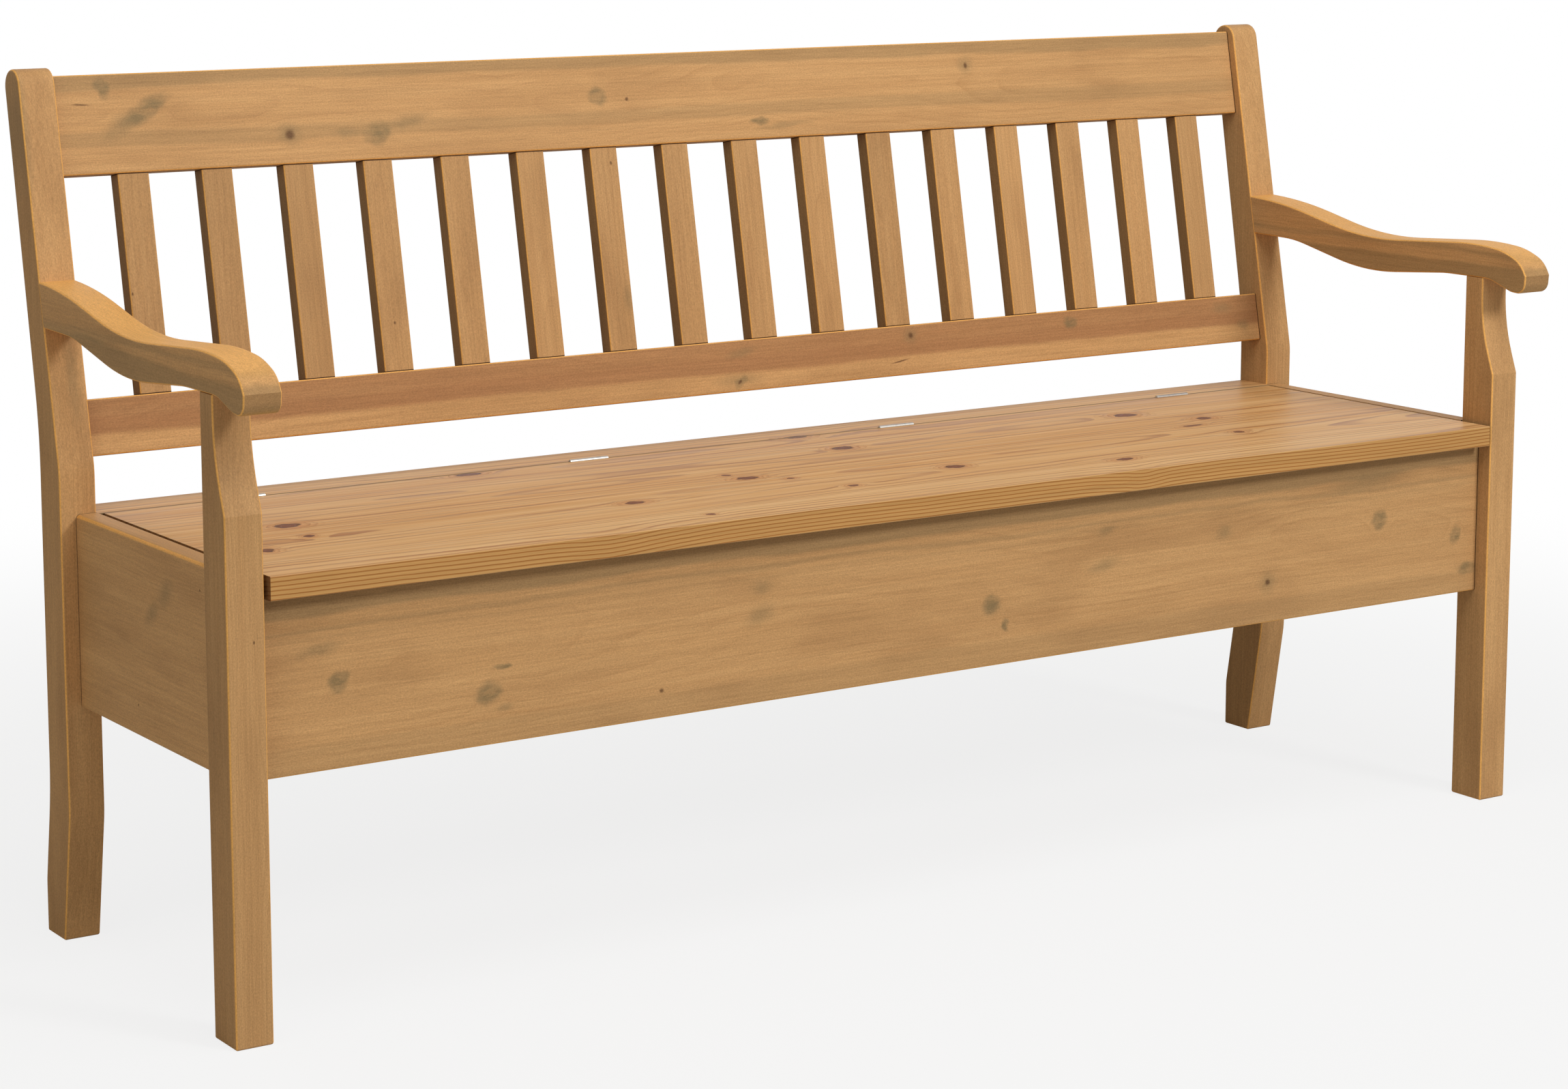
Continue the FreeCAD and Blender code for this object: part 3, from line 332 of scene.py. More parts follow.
print("most year rings are", RING_WIDTH, "mm wide")

# %% [markdown]
# ## Stained pine
#
# The frame is stained a honey brown and sprayed with a satin lacquer. The stain evens out the
# contrast: rings show as faint lines, while knots turn a smoky grey green. The colours were tuned
# until each part of the render had the tone that the photograph has there.

# %% Colours of the stain
HONEY = colour(195, 150, 100)
HONEY_PALE = colour(201, 156, 105)
HONEY_DULL = colour(179, 136, 90)
LATE_WOOD = colour(152, 108, 66)
SMOKE = colour(128, 110, 78)
SMOKE_CORE = colour(100, 92, 66)
SMOKE_DARK = colour(92, 62, 42)
HEARTWOOD = colour(148, 99, 66)
# painted shade for the narrow sides
SIDE_SHADE_TONE = colour(88, 62, 30)
# orange of sanded edges, with a painted highlight on it
SANDED_AND_HIGHLIGHT = colour(240, 178, 96)
# painted shadow in the joints
JOINT_SHADOW = colour(58, 36, 18)
print("honey is", [round(part, 2) for part in HONEY[:3]], "in linear light")

# %% [markdown]
# Where an edge was sanded round, the stain is thinner, and a painted orange highlight on top of
# that stands for the light that the rounding catches. A fillet in the model is where the surface
# faces none of the board's three ways, so the surface's direction alone finds the edge. On a
# curved arm or post two of the ways run into each other along the sawn outline, and there they
# count as one.

# %% Find the rounded edges
FACE_ON, ROUNDED = 0.992, 0.84


def edge_mask(normal, curved=None):
    """1 on a rounded edge, 0 on a face, and how far the surface faces each of the three ways."""
    facing = [abs(way) for way in split(normal)]
    if curved is None:
        most = highest(*facing)
    else:
        flat = facing[curved]
        most = highest(flat, (1 - flat * flat) ** 0.5)
    return fade(most, FACE_ON, ROUNDED), facing


print("an edge begins", round(math.degrees(math.acos(FACE_ON))), "degrees off the face")

# %% [markdown]
# The body of the stain is three tones of honey in long streaks and soft clouds, with the rings
# over them as faint lines that come and go. Fibres, threads and grit then vary its light a
# little, because a flat colour looks like plastic from close by.

# %% The body of the stain and its grain
THREAD_SIZE, GRIT_SIZE = (150, 2.2), (2.0, 1.3)


def honey(space, rings, seed):
    shown = fade(noise(space, 260, 34, 2, seed + 1), 0.42, 0.75)
    streaks = noise(space, 420, 11, 3, seed + 2)
    clouds = noise(space, 190, 60, 2, seed + 3)
    tone = mix(fade(streaks, 0.36, 0.68), HONEY, HONEY_PALE)
    tone = mix(fade(clouds, 0.46, 0.74) * 0.75, tone, HONEY_DULL)
    return mix(rings * (0.08 + shown * 0.30), tone, LATE_WOOD)


def stain_grain(space, fibres, seed):
    """The fine grain as a share of light, about 1."""
    threads = noise(space, *THREAD_SIZE, 2, seed + 7)
    grit = noise(space, *GRIT_SIZE, 3, seed + 6)
    return (fibres - 0.5) * 0.32 + (threads - 0.5) * 0.32 + (grit - 0.5) * 0.66 + 1


print("threads are", THREAD_SIZE, "mm long and wide, grit is", GRIT_SIZE)

# %% [markdown]
# The stain has its own marks. Bands run along the board where the heartwood took it up
# differently, and their borders wave a little. Knots and the patches round them turn smoky, more
# so here than there. Small dead knots are plain dark dots.

# %% Bands and knots in the stain
BAND_SOFTNESS = 3


def add_bands(tone, space, bands, seed):
    """Each band is (from, to, how far it waves, how strong, its colour), across the board."""
    across = split(space)[ACROSS]
    for low, high, wave, strength, band_tone in bands:
        line = across + (noise(space, 240, 60, 2, seed + wave) - 0.5) * wave
        inside = (fade(line, low - BAND_SOFTNESS, low + BAND_SOFTNESS)
                  * fade(line, high + BAND_SOFTNESS, high - BAND_SOFTNESS))
        tone = mix(inside * strength, tone, band_tone)
    return tone


def add_smoke(tone, space, near, seed):
    """Smoky knots, patchy and darkest in the middle."""
    patchy = noise(space, 16, 7, 2, seed)
    tone = mix(fade(near, 1.2, 0.6) * (0.15 + 0.7 * patchy), tone, SMOKE)
    core = fade(near, 0.85, 0.3) * fade(patchy, 0.42, 0.62)
    return mix(core * 0.3, tone, SMOKE_CORE)


print("a band's border is", 2 * BAND_SOFTNESS, "mm wide")

# %% [markdown]
# Sawn ends drink more stain, so they come out darker. The narrow sides of some pieces get painted
# shade. Rounded edges get the paler orange of their thinner stain with a painted highlight on it,
# and the tops of the arms get a painted highlight. Where two boards meet, a thin dark line is
# painted as the shadow in the joint.

# %% Ends, sides, edges and joints
# where the painted shadow at a joint begins and where it is darkest
JOINT_SHADOW_BEGINS, JOINT_SHADOW_FULL = 1.3, 0.7


def add_ends_shade_and_highlights(tone, edge, facing, side_shade, top_highlight):
    """Darker sawn ends, painted side shade, then sanded edges and tops with a painted highlight.
    """
    tone = mix(facing[ALONG] ** 6 * 0.35, tone, LATE_WOOD)
    # painted shade on the narrow sides
    tone = mix(facing[ACROSS] ** 6 * side_shade, tone, SIDE_SHADE_TONE)
    # sanded edges with a painted highlight, and a painted highlight on the tops
    return mix(highest(edge * 0.85, facing[ACROSS] ** 4 * top_highlight), tone, SANDED_AND_HIGHLIGHT)


def add_joint_shadows(tone, space, length):
    """A dark line painted as the shadow in the joint, at both ends of the length that shows."""
    from_middle = abs(split(space)[ALONG])
    joint_shadow = fade(from_middle, length / 2 - JOINT_SHADOW_BEGINS, length / 2 - JOINT_SHADOW_FULL)
    return mix(joint_shadow, tone, JOINT_SHADOW)


print("a joint's line begins", JOINT_SHADOW_BEGINS, "mm before the other board")

# %% [markdown]
# One function puts the marks together and finishes one board. A light factor, which holds painted
# shade and light as well as the board's own tone, the knots and the bands are what makes each
# board its own. The rear panel is the plainest of them, so it goes first.

# %% Stain one board
PITH_WANDER = 46


def dress(node, material):
    """Puts a finish on every face of a piece."""
    slots = nodes[node].material_slots
    for slot in slots:
        slot.material = material
    if not slots:
        nodes[node].data.materials.append(material)


def stained_pine(node, along, across, pith=(8, -55), seed=1, ring_width=RING_WIDTH, curved=None,
                 tone_and_shade=1, top_highlight=0, side_shade=0, seen=None, knots=(), smudges=(), dots=(), bands=()):
    """Stains one board. Sizes are in mm from its middle, and seen is its length between joints."""
    material, tree = new_material(f"{node}_pine")
    space, normal = board_space(tree, node, along, across)
    edge, facing = edge_mask(normal, curved)
    near = nearest_knot(space, knots, seed) if knots else None
    near_dot = nearest_knot(space, dots, seed + 2, DOT_STRAY) if dots else None
    swells = [swelling(distance) for distance in (near, near_dot) if distance is not None]
    rings = year_rings(space, pith, ring_width, PITH_WANDER, seed, swells)
    fibres = noise(space, 22, 0.8, 2, seed + 4)

    tone = add_bands(honey(space, rings, seed), space, bands, seed + 8)
    if knots:
        tone = add_smoke(tone, space, near, seed + 9)
    if smudges:
        tone = mix(fade(nearest_knot(space, smudges, seed + 4), 1.5, 0.1) * 0.4, tone, SMOKE)
    if dots:
        tone = mix(fade(near_dot, 1.35, 0.3) * 0.8, tone, SMOKE_DARK)
    # painted shade on the sides, painted highlight on edges and tops
    tone = add_ends_shade_and_highlights(tone, edge, facing, side_shade, top_highlight)
    tone = shade(tone, stain_grain(space, fibres, seed) * tone_and_shade)
    # a painted shadow at both joints
    if seen:
        tone = add_joint_shadows(tone, space, seen)
    rough = 0.50 - rings * 0.06 + (fibres - 0.5) * 0.16
    finish_surface(tone, rough, relief(rings * 0.35 + fibres * 0.5, 0.35, 0.12))
    dress(node, material)


stained_pine("rear_panel", X, Z, pith=(-20, 90), seed=7)
print("rear panel:", len(bpy.data.materials["rear_panel_pine"].node_tree.nodes), "shader nodes")

# %% [markdown]
# ## Posts and arms
#
# Posts and arms are sawn to a curve from thick planks, then planed and sanded. The tops of the
# arms get a painted highlight, and bands darken their lower part, partly as stain and partly as
# painted shade on their sides. The left front post is darkened as painted shade, the right one
# lightened a little as painted light. The grain runs up the posts and from back to front in the
# arms.

# %% Stain the posts and arms
# light factors: painted shade on the left front post, a little painted light on the right one
POST_LIGHT_AND_SHADE = {"left": 0.91, "right": 1.02}
POST_DOTS = {"left": [(71, 8, 2, 1.2, 0)], "right": []}
POST_SMUDGES = {"left": [(400, -20, 60, 7, 0), (150, 6, 50, 8, 0)],
                "right": [(-60, 4, 60, 10, 0)]}
# the lower band is partly stain and partly painted shade on the arms' sides
ARM_BANDS_AND_SHADE = [(-60, -10, 30, 0.45, SMOKE), (-2, 6, 40, 0.3, SMOKE)]
for number, side in enumerate(("left", "right")):
    stained_pine(f"front_post_{side}", Z, X, pith=(30, -40), seed=11 + number, curved=ACROSS,
                 tone_and_shade=POST_LIGHT_AND_SHADE[side], side_shade=0.15, dots=POST_DOTS[side])
    stained_pine(f"back_post_{side}", Z, X, pith=(-34, -48), seed=21 + number, curved=ACROSS,
                 side_shade=0.15, smudges=POST_SMUDGES[side])
    stained_pine(f"armrest_{side}", Y, Z, pith=(-60, 30), seed=31 + number, curved=OUT, top_highlight=0.6,
                 bands=ARM_BANDS_AND_SHADE)
    print(side, "posts and arm stained")

# %% [markdown]
# ## Chest
#
# The apron and the panels close the chest under the seat. They sit between the posts, so only the
# length between the posts shows, and the box of each post says where that is. The marks of the
# wide apron are the first that the eye finds, so they lie where the photograph has them.

# %% Stain the apron
def gap(first, second, way):
    """The clear space between two pieces in mm, where way is 0, 1 or 2 for x, y or z."""
    return (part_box(second)[0][way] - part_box(first)[1][way]) / MM


apron_seen = gap("front_post_left", "front_post_right", 0)
stained_pine(
    "front_apron", X, Z, pith=(20, -90), seed=5, seen=apron_seen,
    knots=[(-724, -3, 14, 11, 40), (-557, -37, 16, 13, 20), (-541, -11, 11, 4, 0),
           (74, -22, 13, 12, 10), (94, -46, 6, 8, 0), (651, 13, 13, 12, 30),
           (776, -18, 8, 12, -20), (797, -61, 20, 8, 0)],
    smudges=[(-230, 4, 18, 10, 20), (-228, 33, 14, 7, 0), (-746, 31, 26, 6, 8),
             (409, 24, 12, 9, 0), (477, -42, 13, 13, 0), (629, 60, 60, 9, 4),
             (235, 44, 14, 6, 10), (232, 5, 22, 7, 12), (-538, -53, 8, 4, 0)],
    dots=[(477, -42, 4, 4, 0), (-353, -61, 3, 2.5, 0)],
    bands=[(66, 100, 22, 0.5, SMOKE), (52, 55, 24, 0.36, SMOKE), (44, 45, 24, 0.25, SMOKE),
           (-95, -62, 14, 0.15, SMOKE)])
print(f"the apron shows {apron_seen:.1f} mm between the posts")

# %% [markdown]
# The side panels are short boards of the same kind, with their grain from front to back. The left
# one has a slanting smudge that shows in the photograph. The right one can't be seen there, so it
# gets the same marks on another run of rings.

# %% Stain the side panels
panel_seen = gap("front_post_left", "back_post_left", 1)
for number, side in enumerate(("left", "right")):
    stained_pine(f"side_panel_{side}", Y, Z, seed=41 + number, seen=panel_seen,
                 smudges=[(-46, 56, 22, 11, -36), (-12, 30, 20, 9, -36)],
                 dots=[(27, -71, 1.5, 1.5, 0), (-128, 75, 1.5, 1.5, 0)])
print(f"each side panel shows {panel_seen:.1f} mm between the posts")

# %% [markdown]
# ## Back
#
# Two rails and sixteen slats make the back, and all of them lean. The lower rail was sawn from
# redder heartwood, which its two bands say.

# %% Stain the rails
rail_seen = gap("back_post_left", "back_post_right", 0)
stained_pine(
    "top_rail", X, UP_THE_BACK, pith=(2, -60), seed=3, seen=rail_seen,
    knots=[(-754, 38, 8, 13, 25), (-708, 12, 34, 12, 30), (-433, -24, 19, 14, 10),
           (-148, 6, 11, 14, 60), (72, -32, 14, 5, 0)],
    smudges=[(-735, -2, 26, 10, 30), (-395, -12, 26, 7, 14), (-470, -22, 20, 6, 0),
             (110, -38, 40, 4, 4), (383, 23, 12, 12, 0), (-541, -21, 14, 13, 0)],
    dots=[(-780, 21, 10, 1, -3), (-541, -21, 6, 6, 0), (-108, 1, 2.5, 2.5, 0),
          (383, 23, 3, 4, 0)],
    bands=[(38, 60, 22, 0.36, SMOKE), (-26, -10, 14, 0.24, SMOKE)])
stained_pine(
    "lower_rail", X, UP_THE_BACK, pith=(-6, -50), seed=4, seen=rail_seen,
    knots=[(6, -19, 10, 6, 30), (503, 15, 12, 8, 0)],
    smudges=[(11, 15, 22, 6, 10), (6, -17, 34, 8, 0), (750, 15, 16, 7, 0), (783, -9, 9, 7, 0),
             (257, 17, 11, 11, 0)],
    dots=[(6, -19, 4, 2, 30), (257, 17, 4, 4, 0), (238, -13, 14, 1, 10)],
    bands=[(-8, 40, 8, 0.55, HEARTWOOD), (-4, 10, 10, 0.2, HEARTWOOD)])
print(f"the rails show {rail_seen:.1f} mm between the back posts")

# %% [markdown]
# The slats come from different boards. Each gets a light factor of its own, which holds both
# its own tone and painted shade, and their narrow sides get painted shade. A random generator
# with the slat's number as its seed gives each one a pith of its own, and it gives the same one
# at every run.

# %% Stain the slats
SLAT_SEEN = 235.5
SLAT_RING_WIDTH = 3.4
SLAT_PITH_ASIDE, SLAT_PITH_BEHIND = 30, -46
# light factors: each slat's own tone together with painted shade
SLAT_TONE_AND_SHADE = (0.84, 0.80, 0.83, 0.87, 0.88, 0.90, 0.88, 0.88,
              0.89, 0.92, 0.83, 0.93, 0.96, 0.93, 0.97, 0.88)
SLAT_DOTS = {1: [(-11, -15, 2, 1.2, 0)], 4: [(-64, 0, 2, 1.6, 0)], 7: [(99, 8, 2.4, 1.6, 0)]}
SLAT_SMUDGES = {7: [(-57, 12, 16, 6, 0)]}
for number, tone_and_shade in enumerate(SLAT_TONE_AND_SHADE, 1):
    aside = random.Random(number).uniform(-SLAT_PITH_ASIDE, SLAT_PITH_ASIDE)
    stained_pine(f"back_slat_{number:02d}", UP_THE_BACK, X, seed=50 + number, seen=SLAT_SEEN,
                 pith=(aside, SLAT_PITH_BEHIND), ring_width=SLAT_RING_WIDTH, tone_and_shade=tone_and_shade,
                 side_shade=0.5, dots=SLAT_DOTS.get(number, ()), smudges=SLAT_SMUDGES.get(number, ()))
print(len(SLAT_TONE_AND_SHADE), "slats; their light goes from", min(SLAT_TONE_AND_SHADE), "to", max(SLAT_TONE_AND_SHADE))

# %% [markdown]
# ## Seat pine
#
# The lid and the strip behind it are glued up from narrow staves and only lacquered, so they are
# paler than the frame, and their rings stand out.

# %% Colours of the lacquered pine
PINE = colour(212, 167, 113)
PINE_WARM = colour(202, 151, 95)
PINE_PALE = colour(226, 190, 138)
PINE_LATE = colour(140, 78, 24)
PINE_EDGE = colour(216, 170, 104)
KNOT_RED = colour(122, 70, 46)
KNOT_RIM = colour(72, 38, 24)
KNOT_HALO = colour(190, 128, 78)
print("pine is", [round(part, 2) for part in PINE[:3]], "in linear light")

# %% [markdown]
# Each stave comes from another part of a trunk. Its number goes into a White Noise node, which
# gives it a pith, a shade and a place along the trunk of its own. Cutting the boards apart in the
# model would do the same, but the real seams are so tight that only the rings give them away.

# %% Cut a board into staves
CHANCE_STEP = 7.3
TRUNK_LENGTH, STAVE_APART = 900, 300


def cut_staves(space, first_seam, stave, seed):
    """A stave's number, the place across it, its own space and three shares of chance."""
    along, across, out = split(space)
    count = (across - first_seam) / stave
    number = count.math("MAXIMUM", 0).math("FLOOR")
    inside = (count - number - 0.5) * stave
    chance = split(space.node("ShaderNodeTexWhiteNoise", {"noise_dimensions": "1D"},
                              {"W": number + seed * CHANCE_STEP}, output="Color"))
    own = space.node("ShaderNodeCombineXYZ", inputs={
        0: along + chance[0] * TRUNK_LENGTH, 1: inside, 2: out + number * STAVE_APART})
    return number, inside, own, chance


print("two staves lie up to", TRUNK_LENGTH, "mm apart along the trunk")

# %% [markdown]
# A stave's rings lie round a pith some way behind the face. The front stave is a special case:
# its pith lies far to the side, which gives the straight, close lines on the lid's front edge.

# %% Rings of the staves
PITH_BEHIND, PITH_BEHIND_MORE = 60, 45
FRONT_PITH_ASIDE = 40
SEAT_SWELL = 15


def stave_rings(space, own, number, inside, chance, stave, swell, ripple, seed):
    """The rings of each stave: 0 in early wood, 1 in late wood."""
    drift_x, drift_y, _ = split(noise(own, 700, 160, 1, seed, output=1))
    front = 1 - fade(number, 0, 1)
    sideways = inside + (chance[0] - 0.5) * (stave * 1.1) * (1 - front) + front * FRONT_PITH_ASIDE
    sideways = sideways + (drift_x - 0.5) * 36
    deep = split(space)[OUT] + PITH_BEHIND + chance[2] * PITH_BEHIND_MORE + (drift_y - 0.5) * 26
    radius = (sideways * sideways + deep * deep) ** 0.5
    turns = (radius + (ripple - 0.5) * 1.8 + swell * SEAT_SWELL) / RING_WIDTH
    place = turns.math("FRACT")
    return fade(place, 0.55, 0.9) * (1 - fade(place, 0.94, 1.0))


print("a stave's pith lies", PITH_BEHIND, "to", PITH_BEHIND + PITH_BEHIND_MORE, "mm behind")

# %% [markdown]
# The lacquered pine is built from the bottom up: the tone of the stave with pale flecks and a
# halo by each knot, then the dark ring lines. The lines crowd in some places and give way close
# to a knot, and on the board's narrow edge they show as plain stripes.

# %% Tones and ring lines of the seat
FLECK_SIZE = (380, 2.6)


def seat_body(own, near, chance, facing, seed):
    streaks = noise(own, 700, 8, 3, seed + 2)
    flecks = noise(own, *FLECK_SIZE, 1, seed + 11)
    tone = mix(fade(streaks, 0.35, 0.62), PINE, PINE_WARM)
    tone = mix(fade(chance[1], 0.55, 1.0) * 0.6, tone, PINE_PALE)
    tone = mix(fade(flecks, 0.56, 0.66) * 0.55, tone, PINE_PALE)
    tone = mix(fade(near, 2.6, 0.9) * 0.5, tone, KNOT_HALO)
    return mix(facing[ACROSS] ** 4 * 0.8, tone, PINE_EDGE)


def seat_lines(tone, own, rings, near, facing, seed):
    crowd = fade(noise(own, 620, 16, 2, seed + 9), 0.36, 0.62)
    by_knot = fade(near, 2.6, 1.5)
    edge_on = fade(facing[ACROSS], 0.5, 0.9)
    lines = rings * (0.2 + crowd * 0.5) * (1 - by_knot * 0.8) * (1 - edge_on)
    return mix(lines + rings * edge_on * 0.75, tone, PINE_LATE)


print("pale flecks are", FLECK_SIZE, "mm long and wide")

# %% [markdown]
# A knot in lacquered pine is a red brown eye with a dark rim, and the grain closes small loops
# round it. The seams between the staves are thin and dark. The sawn ends are darker, partly end
# grain and partly painted shade, and a thin painted shadow runs along the joint of lid and strip.

# %% Knots and seams of the seat
SEAM_BEGINS, SEAM_IS_DARK = 0.7, 0.1
# where the painted shadow along the lid's joint begins and where it is darkest
GAP_SHADOW_BEGINS, GAP_SHADOW_FULL = 2.2, 0.6


def seat_knots(tone, near, ripple):
    around = near * 1.9 + (ripple - 0.5) * 1.2
    loops = around.math("FRACT") ** 3 * fade(near, 3.0, 1.6)
    tone = mix(loops * 0.55, tone, PINE_LATE)
    tone = mix(fade(near, 1.02, 0.88) * 0.9, tone, KNOT_RIM)
    return mix(fade(near, 0.86, 0.45) * (0.3 + ripple), tone, KNOT_RED)


def seat_seams_and_shade(tone, node, space, inside, stave, facing, joint_side):
    """Stave seams, ends darker by end grain and painted shade, painted shadow at the lid's joint.
    """
    seam = fade(abs(inside), stave / 2 - SEAM_BEGINS, stave / 2 - SEAM_IS_DARK)
    tone = mix(seam * 0.35, tone, PINE_LATE)
    # ends darker: partly end grain, partly painted shade
    tone = mix(facing[ALONG] ** 6 * 0.6, tone, KNOT_RIM)
    low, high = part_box(node)
    half = (high.y - low.y) / 2 / MM
    towards_joint = split(space)[ACROSS] * joint_side
    # painted shadow along the joint of lid and strip
    joint_shadow = fade(towards_joint, half - GAP_SHADOW_BEGINS, half - GAP_SHADOW_FULL)
    return mix(joint_shadow * 0.9, tone, JOINT_SHADOW)


print("a seam begins", SEAM_BEGINS, "mm before the next stave")

# %% [markdown]
# One function again puts the parts together. It can also bend the rings where no knot lies, by
# swells that are wide and weak. The narrow strip behind the lid goes first.

# %% Build the seat finish
WIDE_SWELL = 0.35


def seat_pine(node, first_seam, stave, joint_side, knots, swells=(), seed=1):
    """A board glued from staves. Its joint side is 1 at the rear edge, -1 at the front edge."""
    material, tree = new_material(f"{node}_pine")
    space, normal = board_space(tree, node, X, Y)
    edge, facing = edge_mask(normal)
    number, inside, own, chance = cut_staves(space, first_seam, stave, seed)
    near = nearest_knot(space, knots, seed)
    swell = swelling(near)
    if swells:
        swell = swell + swelling(nearest_knot(space, swells, seed), WIDE_SWELL)
    ripple = noise(space, 80, 30, 2, seed + 5)
    rings = stave_rings(space, own, number, inside, chance, stave, swell, ripple, seed)
    fibres = noise(space, 40, 0.8, 2, seed + 4)
    threads = noise(own, 260, 1.7, 2, seed + 6)

    tone = seat_body(own, near, chance, facing, seed)
    tone = seat_lines(tone, own, rings, near, facing, seed)
    tone = seat_knots(tone, near, ripple)
    tone = seat_seams_and_shade(tone, node, space, inside, stave, facing, joint_side)
    # rounded edges a little paler: painted highlight
    tone = mix(edge * 0.3, tone, PINE_PALE)
    tone = shade(tone, (fibres - 0.5) * 0.20 + (threads - 0.5) * 0.42 + 1)
    rough = 0.44 - rings * 0.08 + (fibres - 0.5) * 0.14
    finish_surface(tone, rough, relief(rings * 0.6 + fibres * 0.4, 0.35, 0.12))
    dress(node, material)


seat_pine("seat_rear_strip", first_seam=-80, stave=160, joint_side=-1, seed=4,
          knots=[(70, -28, 18, 6, 0)])
print("strip:", len(bpy.data.materials["seat_rear_strip_pine"].node_tree.nodes), "shader nodes")

# %% [markdown]
# ## Lid
#
# The lid is the large surface that one looks at first. Its knots have the place and the size that
# the photograph shows, and two wide swells bend the rings of the stave at its front edge.

# %% Dress the lid
LID_KNOTS = [
    (-375, 190, 17, 8, 0), (-676, 28, 15, 11, 0), (-683, -34, 6, 5, 0), (-753, -79, 10, 9, 0),
    (-312, -59, 13, 8, 0), (-281, -159, 5, 4, 0), (-141, 27, 5, 4, 0), (-130, 0, 14, 8, 0),
    (70, 198, 15, 8, 0), (71, 105, 14, 10, 0), (105, -68, 13, 9, 0), (496, 111, 17, 11, 0),
    (561, 39, 12, 8, 0), (514, 4, 14, 4, 0), (529, -63, 8, 6, 0), (294, -136, 13, 7, 10),
    (-92, -28, 5, 4, 0), (-59, -103, 7, 5, 0)]
LID_SWELLS = [(268, -196, 34, 40, 0), (-420, -196, 60, 60, 0)]
seat_pine("seat_lid", first_seam=-193, stave=68, joint_side=1, seed=2, knots=LID_KNOTS,
          swells=LID_SWELLS)
print("the lid has", len(LID_KNOTS), "knots and", len(LID_SWELLS), "wide swells")

# %% [markdown]
# ## Inner pine
#
# Nobody sees the inside of the chest until the lid is up. Its boards, the ledges that carry them
# and the battens under the lid are planed and left raw, so their finish is only rings and fibres
# in two pale colours, rougher than lacquer.

# %% Leave the inner boards raw
RAW = colour(214, 178, 132)
RAW_LATE = colour(174, 124, 76)
RAW_PITH, RAW_RING_WIDTH, RAW_WANDER = (12, -48), 4.0, 40
INNER_BOARDS = {"ledge_front": X, "ledge_rear": X, "ledge_left": Y, "ledge_right": Y,
                "bottom_bearer": Y, "bottom_board_left": X, "bottom_board_right": X}


def raw_pine(node, along, across, seed):
    material, tree = new_material(f"{node}_pine")
    space, _ = board_space(tree, node, along, across)
    rings = year_rings(space, RAW_PITH, RAW_RING_WIDTH, RAW_WANDER, seed)
    fibres = noise(space, 30, 0.9, 2, seed)
    tone = mix(rings * 0.6, RAW, RAW_LATE)
    tone = mix(fade(fibres, 0.45, 0.75) * 0.3, tone, RAW_LATE)
    finish_surface(tone, 0.62 + (fibres - 0.5) * 0.2, relief(rings * 0.5 + fibres, 0.4, 0.15))
    dress(node, material)


for number in (1, 2, 3):
    raw_pine(f"lid_batten_{number}", Y, X, 60 + number)
for number, (node, along) in enumerate(INNER_BOARDS.items()):
    raw_pine(node, along, Y if along is X else X, 70 + number)
print("raw: 3 battens and", len(INNER_BOARDS), "boards of the chest")

# %% [markdown]
# ## Plated steel
#
# Hinges and screws are steel with a thin zinc plating: a metal whose brightness changes a little
# in soft stains, with fine marks from the rolling. One finish serves all the hinges.

# %% Plate the hinges
STEEL = colour(196, 193, 186)
STEEL_DULL = colour(140, 137, 130)


def plated_steel(name, node):
    material, tree = new_material(name)
    space, _ = board_space(tree, node, X, Y)
    marks = noise(space, 30, 0.3, 3, 2)
    stains = noise(space, 6, 6, 2, 3)
    tone = mix(fade(stains, 0.45, 0.75) * 0.35, STEEL, STEEL_DULL)
    finish_surface(tone, 0.24 + stains * 0.2, relief(marks, 0.2, 0.05), Metallic=1.0)
    return material


hinge_plate = plated_steel("hinge_plate", "hinge_pin_2")
plated = [node for node in nodes if node.startswith("hinge") or node.endswith("_screws")]
for node in plated:
    dress(node, hinge_plate)
print("plated:", len(plated), "nodes")

# %% [markdown]
# ## Screws
#
# Thirty-five screws hold the hinges, the battens and the ledges. They are all the same thing in
# two sizes: a countersunk head with a cross recess, a shank, a thread and a point. Modelling each
# by hand would be a waste, so Geometry Nodes build one screw from named sizes. A line along the
# screw carries a radius at each point, and that radius draws the head, the shank and the tip.

# %% Head, shank and tip
ROOT_SHARE = 0.72
TIP_IN_THREADS, TIP_SHARE = 2.4, 0.05
LINE_POINTS, ROUND_SIDES = 41, 20


def between(value, start, end, first, last):
    """A straight climb from first to last, level outside."""
    return value.node("ShaderNodeMapRange", inputs={
        "Value": value, "From Min": start, "From Max": end, "To Min": first, "To Max": last})


def screw_core(g, head, head_depth, thread, length):
    root = thread * ROOT_SHARE
    line = g.node("GeometryNodeCurvePrimitiveLine",
                  inputs={"End": g.node("ShaderNodeCombineXYZ", inputs={"Z": length})})
    line = g.node("GeometryNodeResampleCurve", inputs={"Curve": line, "Count": LINE_POINTS})
    height = split(g.node("GeometryNodeInputPosition"))[2]
    tip_start = length - thread * TIP_IN_THREADS
    radius = (between(height, 0, head_depth, head, root) - root
              + between(height, tip_start, length, root, thread * TIP_SHARE))
    line = g.node("GeometryNodeSetCurveRadius", inputs={"Curve": line, "Radius": radius})
    ring = g.node("GeometryNodeCurvePrimitiveCircle",
                  inputs={"Resolution": ROUND_SIDES, "Radius": 1})
    return g.node("GeometryNodeCurveToMesh", inputs={
        "Curve": line, "Profile Curve": ring, "Scale": g.node("GeometryNodeInputRadius"),
        "Fill Caps": True})


print("the root of the thread has", ROOT_SHARE, "of its radius")

# %% [markdown]
# The recess is what a screwdriver fits: two crossed bars, cut out of the head. A punch makes it
# in the factory, and a Mesh Boolean node does the same here.

# %% Cut the cross recess
BAR_LENGTH, BAR_WIDTH, BAR_DEPTH = 1.15, 0.24, 1.3


